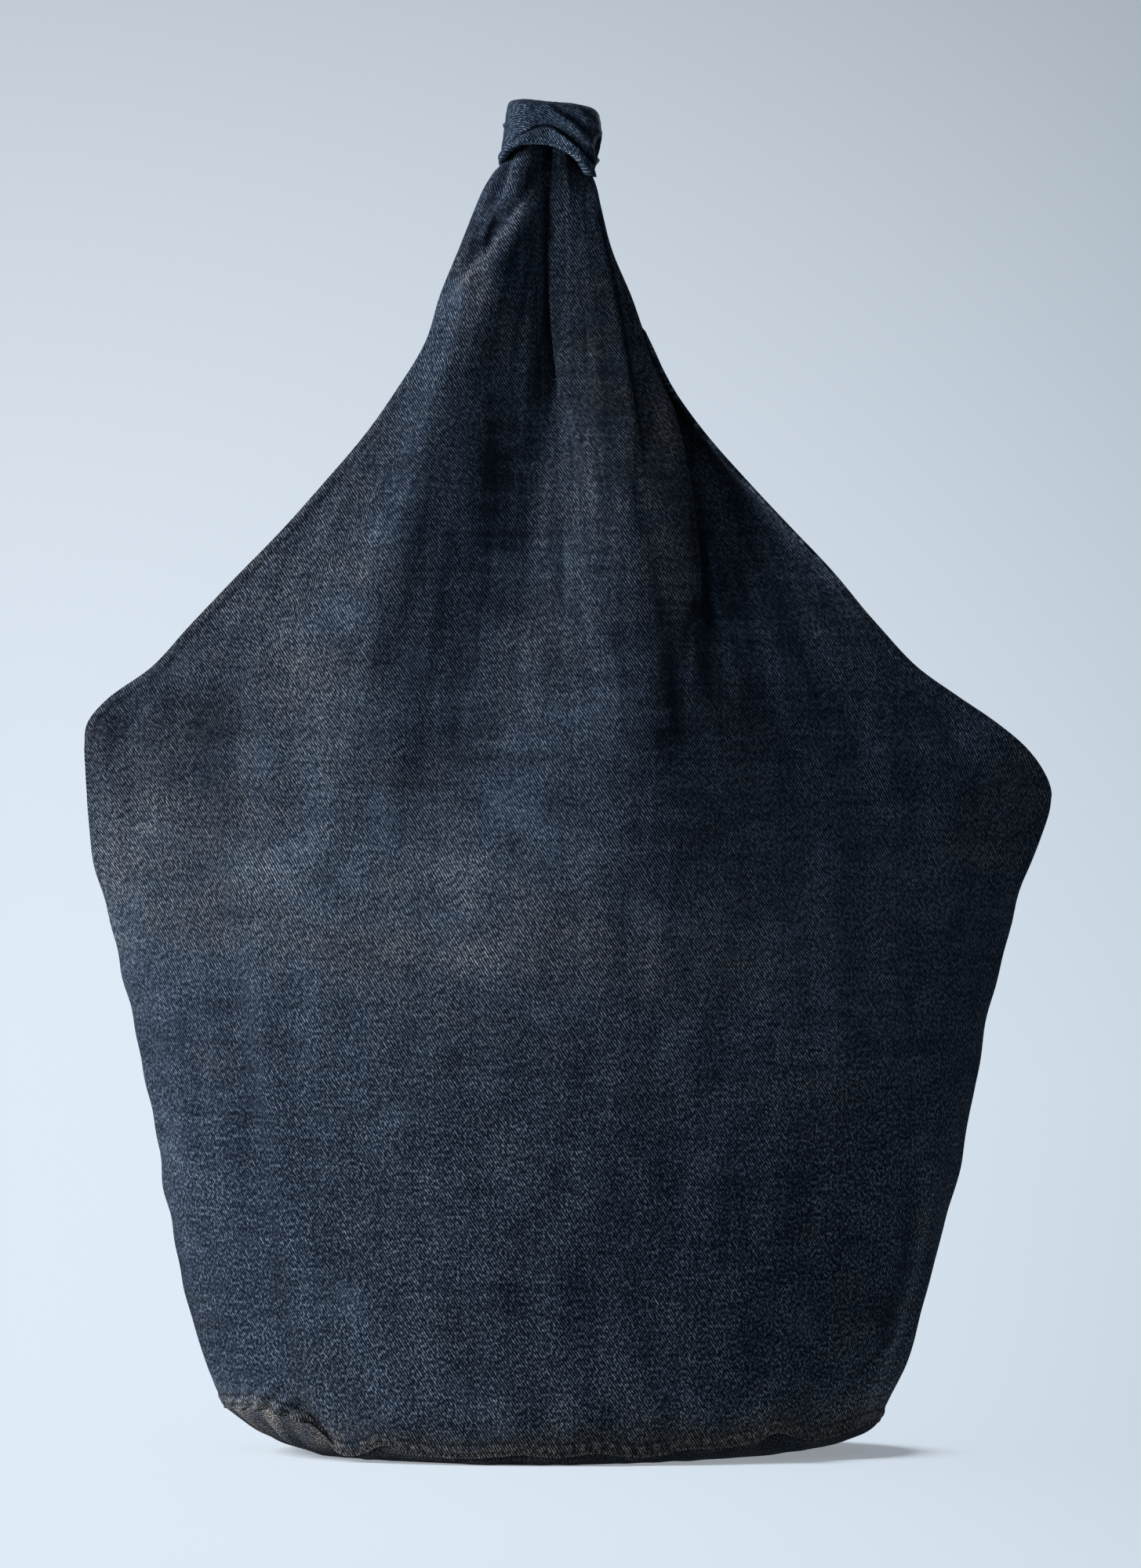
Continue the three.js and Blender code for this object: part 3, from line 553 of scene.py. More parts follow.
def panel(name, side, folds, table, columns, bands, seed):
    """One panel of the bag: its places with the hem's roll, the seams' tucks and soft wrinkles added square to
    the face. Also returns its grids of places, normals and lengths from the edges, for its stitches."""
    # The columns lie closer near the folds
    turn = column_turns(columns, ((0.17, 0.14, 2.2), (0.7, 0.3, 0.8)))
    turn = (turn[::-1] if side < 0 else turn)[None, :]
    places, plain_x = panel_places(side, folds, turn, row_rises(bands)[:, None])
    z = places[..., 2]
    normals = grid_normals(places)
    lengths = row_lengths(places)
    total = lengths[:, -1:]
    first, last = ("left", "right") if side < 0 else ("right", "left")
    near = np.minimum(lengths * edge_slant(first, z[:, :1]), (total - lengths) * edge_slant(last, z[:, -1:]))
    seam_top = np.where(plain_x < 0, SEAM_TOP["left"], SEAM_TOP["right"])
    hemmed = smooth((z - seam_top) / 6) * smooth((HEM_END - z) / 16)

    # The cloth's own coordinates are lengths along the rows from the crease's line, and heights
    grain, _ = fold_line(folds["centre crease"], z[:, :1])
    order = 1 if side < 0 else -1
    at_grain = [np.interp(g, px[::order], run[::order]) for g, px, run in zip(grain[:, 0], plain_x, lengths)]
    u = lengths - np.array(at_grain)[:, None]
    cloth = np.stack([u, z], axis=-1)

    low = z - z[:1]
    seam_band = smooth((SEAM_STRIP - low) / 1.2)
    seam_puckers = wave(u + 0.5 * low, PUCKER_PITCH, 1.3 * np.sin(u / 19)) * bell(low - 4.4, 2.6)
    relief = (
        # The turned hem's roll, its stitched line and its roping
        (0.5 * bell(near - 3.4, 2.2) - 0.25 * bell(near - HEM_TURN, 0.8)) * hemmed
        + 0.12 * wave(z + near, HEM_ROPES) * bell(near - 3, 2.4) * hemmed
        # The side seams' tuck
        - 0.9 * bell(near, 1.6) * smooth((seam_top + 6 - z) / 6)
        # The base seam's folded strip, its two stitched rows and its puckers
        + 0.7 * seam_band - 0.7 * bell(low - UPPER_ROW, 0.7) - 0.45 * bell(low - LOWER_ROW, 0.6)
        + 0.6 * seam_puckers
    )
    # Rolls across the left corner
    relief += 1.3 * wave(u - 0.9 * low, 15) * smooth((24 - low) / 18) * bell(plain_x + 150, 26)
    ripple = 0.42 * soft_waves(u, z, seed, *RIPPLES) + 0.1 * soft_waves(u, z, seed + 1, *WRINKLES)
    relief += ripple * smooth(near / 14) * smooth(low / 16)
    relief += side_bumps(plain_x < 0, z) * bell(near, 22)
    # Streaks and shallow waves that fan out from the neck
    fan = plain_x * (FAN_TOP - FAN_WIDE) / (FAN_TOP - z)
    fanned = smooth((z - 330) / 110) * smooth(near / 22)
    relief += 0.45 * soft_waves(fan, z, seed + 2, *FANNED_WAVES) * fanned
    outer = places + normals * relief[..., None]
    # Below the seams' ends the two panels' edges meet
    joined = GAP / 2 * bell(near, 2) * smooth((seam_top - z) / 4)
    outer[..., 1] = side * np.maximum(side * outer[..., 1] - joined, GAP / 2 * smooth((z - seam_top + 4) / 4))
    thick = CLOTH + (HEM - CLOTH) * np.maximum(hemmed * (near < HEM_TURN), seam_band)
    inner = (outer - normals * thick[..., None])[::2, ::2]
    inner[..., 1] = side * np.maximum(side * inner[..., 1], 0.01)

    wear_and_painted_light, brown = stains_and_painted_light(table, plain_x, z)
    # Each fold's marks paint lines of highlight and shade along it, some also browned
    for fold in folds.values():
        line, t = fold_line(fold, z)
        full = smooth((t + 0.1) / 0.1) * smooth((1.1 - t) / 0.3)
        for beside, width, lighter, browner in fold["marks"]:
            wear_and_painted_light += lighter * bell(plain_x - line - beside, width) * full
            brown += browner * bell(plain_x - line - beside, width) * full
    # The hems' and the base seam's edges are worn pale, the stitched rows are dark, the puckers are lighter on
    # their crests and darker between them, partly worn and partly painted highlight and shade, the seam's folded
    # strip is lighter, partly worn and partly a painted highlight, pale streaks fan out from the neck, and the left,
    # the hems and the base seam are browned
    wear_and_painted_light += 0.15 * bell(near, 1.2) * hemmed + 0.5 * bell(low - 0.4, 0.8)
    wear_and_painted_light -= 1.3 * (bell(low - UPPER_ROW, 0.8) + bell(low - LOWER_ROW, 0.7))
    wear_and_painted_light += 0.17 * soft_waves(fan, z, seed + 3, *FANNED_STREAKS) * fanned
    wear_and_painted_light += 0.4 * seam_puckers + 0.3 * smooth((9.5 - low) / 3)
    brown += (0.12 + 0.33 * smooth((-70 - plain_x) / 90)) * smooth((z - 240) / 150)
    brown += 0.35 * hemmed * bell(near, 5) + 1.0 * bell(low - 2, 9)
    marks = {"wear_and_painted_light": wear_and_painted_light, "brown": brown, "speck": smooth((300 - z) / 160) * (1 - 0.85 * smooth((16 - low) / 8))}
    piece = cloth_mesh(name, outer, inner, cloth, marks)
    return piece, {"outer": outer, "normals": normals, "near": near, "low": low, "hemmed": hemmed}


def base():
    """The oval base as a dish: flat on the floor out to the flat's share of its reach, then rolled up along a
    circle's arc to the seam."""
    spokes = 360
    around = 2 * math.pi * np.arange(spokes)[None, :] / spokes
    ring = np.concatenate([np.linspace(0.02, 0.5, 9), np.linspace(0.52, 1, 20)])[:, None]
    turn, ring = np.broadcast_arrays(around, ring)
    folded = np.arccos(np.cos(around))
    front, _ = panel_places(-1, {}, folded, np.zeros_like(folded))
    back, _ = panel_places(1, {}, folded, np.zeros_like(folded))
    rim = np.where((np.sin(around) < 0)[..., None], front, back)
    flat = curve(BASE_FLAT, np.degrees(turn))
    end = math.pi * 0.44
    roll = np.clip(2 * ring - 1, 0, 1) * end
    # The left corner's roll is half way to a plain slope
    slope = 0.5 * bell(np.degrees(turn) - 190, 40)
    rolled = (1 - slope) * np.sin(roll) / math.sin(end) + slope * (1 - np.cos(roll)) / (1 - math.cos(end))
    reach = np.where(ring <= 0.5, flat * 2 * ring, flat + (1 - flat) * rolled)
    lift = (rim[..., 2] - GAP) * (1 - np.cos(roll)) / (1 - math.cos(end))
    # The rim stays a little inside the panels' lower edges
    outer = np.stack([rim[..., 0] * reach, rim[..., 1] * reach * 0.992, lift], axis=-1)
    normals = grid_normals(outer, closed=True)
    waves = soft_waves(outer[..., 0], outer[..., 1], 5, *BASE_WRINKLES)
    # Rolls and creases that slant across the left front corner
    slant = np.degrees(turn) - 26 * ring
    rolls = wave(slant, 13) + 0.6 * wave(slant, 7.7, 1)
    corner = bell(np.degrees(turn) - LEFT_CORNER, 22) * smooth(4 * ring - 2.6)
    raised = 0.25 * waves + 1.7 * rolls * corner
    outer = outer + normals * (raised * (ring > 0.5) * smooth(4 * (1 - ring)))[..., None]
    outer[..., 2] = np.maximum(outer[..., 2], 0)
    inner = (outer - normals * CLOTH)[::2, ::2]
    # The cloth's own coordinates keep each spoke's length from the middle
    steps = np.linalg.norm(np.diff(outer, axis=0), axis=-1)
    spoke = np.concatenate([np.zeros((1, steps.shape[1])), np.cumsum(steps, axis=0)])
    way = outer[..., :2] / np.linalg.norm(outer[..., :2], axis=-1, keepdims=True)
    cloth = 1.5 * way * (spoke + np.linalg.norm(outer[:1, :, :2], axis=-1))[..., None]
    # The rim and the left front corner are worn pale, and painted highlight and shade follow the corner's rolls,
    # lighter on their crests and darker between them
    wear_and_painted_light = -0.1 + 0.5 * smooth((ring - 0.9) / 0.1) + corner * (1.7 + 0.9 * rolls)
    marks = {"wear_and_painted_light": wear_and_painted_light, "brown": np.full(ring.shape, 1.7), "speck": np.full(ring.shape, 0.3)}
    return cloth_mesh("base_cloth", outer, inner, cloth, marks, closed=True)


def line_distance(line, x, z):
    """Signed distance of x, z from a line of places, positive above it, and the share of the line passed."""
    line = np.array(line, dtype=float)
    fine = np.linspace(0, 1, 60)
    knots = np.linspace(0, 1, len(line))
    lx, lz = curve(np.stack([knots, line[:, 0]], 1), fine), curve(np.stack([knots, line[:, 1]], 1), fine)
    gap = np.hypot(x[..., None] - lx, z[..., None] - lz)
    nearest = gap.argmin(axis=-1)
    tx, tz = np.gradient(lx), np.gradient(lz)
    size = np.hypot(tx, tz)
    px, pz = x - lx[nearest], z - lz[nearest]
    cross = (tx[nearest] * pz - tz[nearest] * px) / size[nearest]
    distance = np.sign(cross) * gap.min(axis=-1)
    return distance, fine[nearest]


def knot_relief(folds, x, z):
    """Height of the knot's layers above its plain form: each fold rounds up to its edge from below and drops
    off sharply above it into a crease. Also how deep in a crease each place lies."""
    relief, crease = np.zeros_like(x), np.zeros_like(x)
    for fold in folds.values():
        distance, share = line_distance(fold["line"], x, z)
        heights = np.array(fold["height"])
        height = np.interp(share, np.linspace(0, 1, len(heights)), heights)
        relief += height * np.where(distance < 0, bell(distance, fold["below"]), bell(distance, fold["above"]))
        relief -= 0.6 * height * bell(distance - 2 * fold["above"], fold["above"])
        crease += height * bell(distance - 1.6 * fold["above"], 1.5 * fold["above"])
    return np.stack([relief, crease])


def knot():
    """The knotted wrap: a boxy cap round the gathered neck, with its layers' edges in relief. Its section is a
    rounded box, |cos| ** boxy + |sin| ** boxy = 1, rolled over the top for the crowned share of the way down and
    dropped from there to the hem."""
    spokes, crowned = 440, 0.27
    turn = -2 * math.pi * np.arange(spokes)[None, :] / spokes
    down = np.concatenate([np.linspace(0.02, 0.26, 24), np.linspace(crowned, 1, 87)])[:, None]
    turn, down = np.broadcast_arrays(turn, down)
    degrees = np.degrees(turn) % 360
    shoulder = curve(KNOT_SHOULDER, degrees)
    middle = shoulder.mean()
    cosine, sine = np.cos(turn), np.sin(turn)
    boxy = (np.abs(cosine) ** KNOT["boxy"] + np.abs(sine) ** KNOT["boxy"]) ** (-1 / KNOT["boxy"])
    across = boxy * cosine
    front_hem = curve(KNOT_FRONT_HEM, KNOT["middle"] + KNOT["half"] * across)
    hem = np.where(sine < 0, front_hem, curve(KNOT_BACK_HEM, degrees))
    roll = np.clip(down / crowned, 0, 1) * math.pi / 2
    reach = np.sin(roll) ** 0.6
    drop = np.clip((down - crowned) / (1 - crowned), 0, 1)

    def face(inset):
        top = middle + (shoulder - middle) * reach
        z = top + (KNOT["crown"] - inset * 0.8) * np.cos(roll) + (hem - shoulder) * drop
        left, right = curve(KNOT_SIDES, z), curve(KNOT_SIDES, z, 2)
        x = (left + right) / 2 + ((right - left) / 2 - inset) * across * reach
        return np.stack([x, (KNOT["deep"] - inset) * boxy * sine * reach, z], axis=-1)

    plain = face(0)
    x, z = plain[..., 0], plain[..., 2]
    normals = grid_normals(plain, closed=True)
    facing = smooth(np.abs(sine) * 3) * reach
    front = sine < 0
    layers = np.where(front, knot_relief(KNOT_FRONT_FOLDS, x, z), knot_relief(KNOT_BACK_FOLDS, x, z)) * facing
    relief, crease = layers
    # The cloth behind the right-hand layers lies deeper
    relief -= 2.6 * smooth((x - 19.5) / 2) * smooth((723 - z) / 4) * front
    above_hem = z - hem
    run = row_lengths(np.concatenate([plain, plain[:, :1]], axis=1))
    girth = run[-1:, -1:]
    run = run[:, :-1] / np.maximum(run[:, -1:], 1) * girth
    # The hem's right-hand end turns away: its roping fades out, and painted shade keeps it dark
    turned = smooth((x - 10) / 6) * smooth((714 - z) / 6)
    ropes = wave(run + 0.8 * above_hem, KNOT_ROPES) * bell(above_hem - 1.9, 1.1) * (1 - 0.8 * turned)
    relief += 0.35 * bell(above_hem - 0.8, 1.3) - 0.4 * bell(above_hem - KNOT_ROW, 0.5) + 0.2 * ropes
    relief += 0.16 * soft_waves(run, z, 31, *KNOT_WRINKLES)
    outer = plain + normals * relief[..., None]
    inner = face(KNOT["wall"])[::2, ::2]

    # Above the hem band the front's cloth lies turned
    distance, _ = line_distance(KNOT_FRONT_FOLDS["hem band"]["line"], x, z)
    swing = np.where(distance > 0, -KNOT_SWING, 0)
    px, pz = x + 5, z - 722 + plain[..., 1] + KNOT["deep"]
    cloth = np.stack([px * np.cos(swing) - pz * np.sin(swing), px * np.sin(swing) + pz * np.cos(swing)], axis=-1)
    cloth = 1.2 * np.where(front[..., None], cloth, np.stack([run, z], axis=-1))
    # Painted shade darkens the creases above the fold edges and the hem's turned end; raised layers and the ropes'
    # crests are lighter, and the hem's edge is paler
    wear_and_painted_light = 0.1 - 0.75 * turned * front + 0.16 * np.clip(relief, -1, 3) - 0.3 * crease
    wear_and_painted_light += 0.35 * ropes + 0.5 * bell(above_hem, 0.6)
    marks = {"wear_and_painted_light": wear_and_painted_light, "brown": np.full(z.shape, -0.4), "speck": np.full(z.shape, 0.2)}
    piece = cloth_mesh("knot_cloth", outer, inner, cloth, marks, closed=True)
    return piece, {"outer": outer, "normals": normals, "above": above_hem}


def trace(grid, field, level, axis):
    """Places and normals where a field first passes a level along each row (axis 1) or column (axis 0) of a
    panel's grid, found by straight lines between neighbours."""
    outer, normals = grid["outer"], grid["normals"]
    if axis == 0:
        outer, normals, field = outer.transpose(1, 0, 2), normals.transpose(1, 0, 2), field.T
    at = (field >= level).argmax(axis=1)
    rows = np.arange(len(field))
    at = np.maximum(at, 1)
    low, high = field[rows, at - 1], field[rows, at]
    t = np.clip((level - low) / np.maximum(high - low, 1e-6), 0, 1)[:, None]
    places = outer[rows, at - 1] * (1 - t) + outer[rows, at] * t
    facing = normals[rows, at - 1] * (1 - t) + normals[rows, at] * t
    return places, facing


def stitch_row(places, facing, pitch, seed):
    """Stitch centres, directions and normals at every pitch along a line of places."""
    run = np.concatenate([[0], np.cumsum(np.linalg.norm(np.diff(places, axis=0), axis=1))])
    draw = np.random.default_rng(seed)
    count = int(run[-1] / pitch)
    at = (np.arange(count) + 0.5) * run[-1] / count

    def sample(values, where):
        return np.stack([np.interp(where, run, values[:, k]) for k in range(3)], axis=1)

    middle, normal = sample(places, at), sample(facing, at)
    way = sample(places, at + pitch * 0.3) - sample(places, at - pitch * 0.3)
    way /= np.linalg.norm(way, axis=1, keepdims=True)
    normal /= np.linalg.norm(normal, axis=1, keepdims=True)
    way += np.cross(way, normal) * (0.1 * draw.standard_normal((count, 1)))
    return np.concatenate([middle, way, normal], axis=1)


def stitches(name, rows, length, radius, sink):
    """Thread stitches as one mesh: each is a flattened capsule of five six-sided rings that dips at its
    ends, centred on its row's place and sunk a little into the cloth."""
    rows = np.concatenate(rows)
    middle, way, normal = rows[:, None, 0:3], rows[:, None, 3:6], rows[:, None, 6:9]
    beside = np.cross(way, normal)
    t = np.repeat([-1, -0.72, 0, 0.72, 1], 6)
    angle = np.tile(np.arange(6) * math.pi / 3, 5)
    thick = np.repeat([0.35, 0.9, 1, 0.9, 0.35], 6) * radius
    along = (t * length / 2)[None, :, None]
    up = (thick * np.sin(angle) * 0.8 - radius * 1.1 * t * t - sink)[None, :, None]
    out = (thick * np.cos(angle))[None, :, None]
    places = (middle + way * along + normal * up + beside * out).reshape(-1, 3)
    ring = np.arange(30).reshape(5, 6)
    side = grid_quads(ring, closed=True, flip=True)
    caps = np.array([[0, 1, 2, 3], [0, 3, 4, 5], [27, 26, 25, 24], [24, 29, 28, 27]])
    quads = np.concatenate([side, caps])
    quads = (quads[None] + 30 * np.arange(len(rows))[:, None, None]).reshape(-1, 4)
    return make_mesh(name, places, quads)


def add(tree, kind, inputs=None, **settings):
    """Adds a node to a tree, with its settings and its inputs, which are values or other nodes' outputs."""
    node = tree.nodes.new(kind)
    for key, value in settings.items():
        setattr(node, key, value)
    for key, value in (inputs or {}).items():
        if isinstance(value, bpy.types.NodeSocket):
            tree.links.new(value, node.inputs[key])
        else:
            node.inputs[key].default_value = value
    return node


def maths(tree, operation, *values):
    """Output of a Math node."""
    return add(tree, "ShaderNodeMath", dict(enumerate(values)), operation=operation).outputs[0]


def summed(tree, *values):
    """Output of a chain of Math nodes that adds up values."""
    total = values[0]
    for value in values[1:]:
        total = maths(tree, "ADD", total, value)
    return total


def mixed(tree, share, low, high, blend="MIX"):
    """Output of a colour Mix node."""
    inputs = {0: share, 6: low, 7: high}
    return add(tree, "ShaderNodeMix", inputs, data_type="RGBA", blend_type=blend).outputs[2]


def remap(tree, value, low, high, to_low=0.0, to_high=1.0):
    """Output of a clamped Map Range node."""
    inputs = {0: value, 1: low, 2: high, 3: to_low, 4: to_high}
    return add(tree, "ShaderNodeMapRange", inputs, clamp=True).outputs[0]


def noise(tree, vector, scale, detail=2.0, roughness=0.5, stretch=(1, 1, 1)):
    """Factor of a Noise texture of a stretched vector."""
    shaped = add(tree, "ShaderNodeVectorMath", {0: vector, 1: stretch}, operation="MULTIPLY").outputs[0]
    inputs = {"Vector": shaped, "Scale": scale, "Detail": detail, "Roughness": roughness}
    return add(tree, "ShaderNodeTexNoise", inputs).outputs["Fac"]


def group(name, inputs, outputs, build):
    """Shader node group with the named sockets, filled in by build(tree, its inputs), whose results go to the
    outputs.
    """
    tree = bpy.data.node_groups.new(name, "ShaderNodeTree")
    for kind, key in inputs:
        tree.interface.new_socket(key, in_out="INPUT", socket_type=kind)
    for key in outputs:
        tree.interface.new_socket(key, in_out="OUTPUT", socket_type="NodeSocketFloat")
    results = build(tree, tree.nodes.new("NodeGroupInput").outputs)
    end = tree.nodes.new("NodeGroupOutput")
    for key, value in zip(outputs, results):
        tree.links.new(value, end.inputs[key])
    return tree


def build_weave(tree, inputs):
    """Twill: wales along U sin + V cos = constant with a narrow pale crest, broken into floats of uneven
    brightness along each wale, and fine flecks."""
    cloth = inputs["Cloth"]
    parts = add(tree, "ShaderNodeSeparateXYZ", {0: cloth}).outputs
    sine, cosine = math.sin(TWILL_ANGLE) / (TWILL_PITCH * MM), math.cos(TWILL_ANGLE) / (TWILL_PITCH * MM)
    across = summed(tree, maths(tree, "MULTIPLY", parts[0], sine), maths(tree, "MULTIPLY", parts[1], cosine))
    along = summed(tree, maths(tree, "MULTIPLY", parts[0], cosine), maths(tree, "MULTIPLY", parts[1], -sine))
    wander = maths(tree, "MULTIPLY", noise(tree, cloth, 30, 4, 0.6), 1.6)
    phase = maths(tree, "MULTIPLY", summed(tree, across, wander), 2 * math.pi)
    wale = maths(tree, "MULTIPLY", summed(tree, maths(tree, "SINE", phase), 1.0), 0.5)
    yarns = add(tree, "ShaderNodeCombineXYZ", {0: across, 1: along}).outputs[0]
    floats = noise(tree, yarns, 1.0, 1, 0.5, (0.88, 0.55, 1))
    fleck = noise(tree, cloth, 640, 0.5, 0.5, (1.15, 0.9, 1))
    crest = maths(tree, "MULTIPLY_ADD", maths(tree, "POWER", wale, 1.8), 0.78, 0.09)
    yarn = maths(tree, "MULTIPLY", crest, remap(tree, floats, 0.4, 0.6, 0.48, 1.78))
    return wale, yarn, fleck


def build_wash(tree, inputs):
    """Uneven wash: soft clouds, mottling, streaks along the weft and the warp, and clouds of tint."""
    cloth = inputs["Cloth"]
    return (
        noise(tree, cloth, 9, 4, 0.55, (1, 1.3, 1)),
        noise(tree, cloth, 55, 5, 0.7),
        noise(tree, cloth, 60, 3, 0.6, (0.22, 3.4, 1)),
        noise(tree, cloth, 70, 3, 0.6, (3.2, 0.2, 1)),
        noise(tree, cloth, 16, 5, 0.65, (1.1, 1.2, 1)),
    )


WEAVE = group("twill weave", [("NodeSocketVector", "Cloth")], ("Wale", "Yarn", "Fleck"), build_weave)
WASH = group("uneven wash", [("NodeSocketVector", "Cloth")], ("Cloud", "Mottle", "Weft", "Warp", "Tint"), build_wash)


def new_material(name, roughness, specular):
    """A material with its node tree and its shader."""
    material = bpy.data.materials.new(name)
    material.use_nodes = True
    shader = material.node_tree.nodes["Principled BSDF"]
    shader.inputs["Roughness"].default_value = roughness
    shader.inputs["Specular IOR Level"].default_value = specular
    return material, material.node_tree, shader


def denim(name, dark, light, worn=0.62, contrast=1.0):
    """Washed denim: dark dyed yarn with paler worn wales, clouded by the wash, its stains and the painted highlight
    and shade that the pieces carry, with a twill relief. worn is how pale the wales are where nothing else shows,
    and contrast how strong the clouds are."""
    material, tree, shader = new_material(name, roughness=0.85, specular=0.12)
    cloth = add(tree, "ShaderNodeUVMap", uv_map="cloth").outputs[0]
    wear_and_painted_light, brown, speck = (
        add(tree, "ShaderNodeAttribute", attribute_name=key).outputs["Fac"] for key in ("wear_and_painted_light", "brown", "speck")
    )
    weave = add(tree, "ShaderNodeGroup", node_tree=WEAVE)
    wash = add(tree, "ShaderNodeGroup", node_tree=WASH)
    tree.links.new(cloth, weave.inputs[0])
    tree.links.new(cloth, wash.inputs[0])
    mottle, tint = wash.outputs["Mottle"], wash.outputs["Tint"]
    clouds = summed(
        tree,
        remap(tree, wash.outputs["Cloud"], 0.3, 0.7, -0.25, 0.25),
        remap(tree, mottle, 0.3, 0.7, -0.36, 0.36),
        remap(tree, wash.outputs["Weft"], 0.3, 0.7, -0.24, 0.24),
        remap(tree, wash.outputs["Warp"], 0.3, 0.7, -0.14, 0.14),
    )
    broken = maths(tree, "MULTIPLY", wear_and_painted_light, remap(tree, mottle, 0.3, 0.7, 0.75, 1.25))
    level = maths(tree, "MULTIPLY", summed(tree, 1.0, maths(tree, "MULTIPLY", clouds, contrast), broken), worn)
    level = maths(tree, "MAXIMUM", level, 0.06)
    fleck = weave.outputs["Fleck"]
    specks = maths(tree, "MULTIPLY", remap(tree, fleck, 0.56, 0.66, 0.0, 0.9), summed(tree, 0.1, speck))
    # Where the wash has felted the face, the yarn between the wales is as pale as they are
    felted = maths(tree, "MULTIPLY", remap(tree, tint, 0.56, 0.68, 0.0, 1.0), 0.18)
    grain = remap(tree, fleck, 0.4, 0.61, -0.5, 0.7)
    grain = maths(tree, "MULTIPLY", grain, remap(tree, speck, 0.0, 1.0, 0.62, 1.05))
    grain = maths(tree, "MULTIPLY", summed(tree, 1.0, grain), remap(tree, speck, 0.0, 1.0, 1.0, 0.88))
    lined = maths(tree, "MULTIPLY", weave.outputs["Yarn"], grain)
    yarn = summed(tree, lined, maths(tree, "MULTIPLY", specks, 0.6), felted)
    # Paler yarn has lost more of its blue
    share = maths(tree, "MULTIPLY", yarn, level)
    shares = {0: maths(tree, "POWER", share, 1.09), 1: share, 2: maths(tree, "POWER", share, 0.89)}
    shares = add(tree, "ShaderNodeCombineXYZ", shares).outputs[0]
    span = tuple(b - a for a, b in zip(dark, light))
    colour = add(tree, "ShaderNodeVectorMath", {0: shares, 1: span, 2: dark}, operation="MULTIPLY_ADD").outputs[0]
    brownness = summed(tree, brown, remap(tree, tint, 0.38, 0.56, 0.42, -0.25))
    brownness = maths(tree, "MULTIPLY", brownness, remap(tree, mottle, 0.35, 0.65, 0.6, 1.4))
    colour = mixed(tree, remap(tree, brownness, 0.0, 2.0), colour, (1.16, 0.86, 0.64, 1), "MULTIPLY")
    tree.links.new(colour, shader.inputs["Base Color"])
    shader.inputs["Sheen Weight"].default_value = 0.02
    shader.inputs["Sheen Roughness"].default_value = 0.5
    height = summed(tree, maths(tree, "MULTIPLY", weave.outputs["Wale"], 0.75), maths(tree, "MULTIPLY", fleck, 0.5))
    bump = add(tree, "ShaderNodeBump", {"Strength": 1.0, "Distance": 0.0004, "Height": height})
    tree.links.new(bump.outputs[0], shader.inputs["Normal"])
    return material


def thread(name, colour):
    """Cotton thread: a plain matt colour, mottled along the run of the seam."""
    material, tree, shader = new_material(name, roughness=0.75, specular=0.25)
    place = add(tree, "ShaderNodeTexCoord").outputs["Object"]
    aged = noise(tree, place, 90, 3, 0.6)
    dark = tuple(c * 0.3 for c in colour)
    tree.links.new(mixed(tree, remap(tree, aged, 0.35, 0.62), (*dark, 1), (*colour, 1)), shader.inputs["Base Color"])
    twist = add(tree, "ShaderNodeBump", {"Strength": 0.4, "Distance": 0.0002, "Height": noise(tree, place, 2600)})
    tree.links.new(twist.outputs[0], shader.inputs["Normal"])
    return material


def dress(piece, nodes, *materials):
    """Gives a piece its materials and its body, and hides the model's nodes that it stands for."""
    for material in materials:
        piece.data.materials.append(material)
    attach(piece, "root")
    if nodes:
        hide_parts(*nodes)


# The camera looks level at the bag from four metres in front
camera_data = bpy.data.cameras.new("camera")
camera_data.lens = 167.3
camera_data.sensor_width = 36
camera = add_object("camera", camera_data)
camera.location = (0.008, -4.0, 0.366)
camera.rotation_euler = (math.radians(90), 0, 0)
bpy.context.scene.camera = camera

# The pieces. The rows of a panel's grid come in bands: where each ends, from 0 to 1, and how many rows it has
FRONT_BANDS = ((0.016, 18), (0.05, 14), (0.45, 74), (0.6, 48), (0.86, 62), (1.0, 42))
BACK_BANDS = ((0.018, 10), (0.05, 8), (0.45, 50), (0.6, 34), (0.86, 46), (1.0, 32))
front, front_grid = panel("front_cloth", -1, FRONT_FOLDS, FRONT_STAINS_AND_PAINTED_LIGHT, columns=240, bands=FRONT_BANDS, seed=11)
back, back_grid = panel("back_cloth", 1, BACK_FOLDS, BACK_STAINS, columns=200, bands=BACK_BANDS, seed=23)
bottom = base()
wrap, wrap_grid = knot()

seam_rows, upper_rows, hem_rows = [], [], []
for seed, grid in enumerate((front_grid, back_grid)):
    seam_rows.append(stitch_row(*trace(grid, grid["low"], LOWER_ROW, axis=0), pitch=3.1, seed=40 + seed))
    upper_rows.append(stitch_row(*trace(grid, grid["low"], UPPER_ROW, axis=0), pitch=3.1, seed=45 + seed))
    flipped = {key: value[:, ::-1] for key, value in grid.items()}
    for half in (grid, flipped):
        free = half["hemmed"][:, 0] > 0.5
        edge = {key: value[free] for key, value in half.items()}
        hem_rows.append(stitch_row(*trace(edge, edge["near"], HEM_TURN, axis=1), pitch=3.3, seed=50 + seed))
knot_edge = {key: value[::-1] for key, value in wrap_grid.items()}
knot_row = stitch_row(*trace(knot_edge, knot_edge["above"], KNOT_ROW, axis=0), pitch=3.0, seed=60)

seam_thread = stitches("base_seam_stitches", seam_rows, length=2.5, radius=0.36, sink=-0.05)
upper_thread = stitches("upper_seam_stitches", upper_rows, length=2.5, radius=0.34, sink=0.05)
hem_thread = stitches("hem_stitches", hem_rows, length=2.6, radius=0.3, sink=0.0)
knot_thread = stitches("knot_stitches", [knot_row], length=2.2, radius=0.28, sink=0.02)

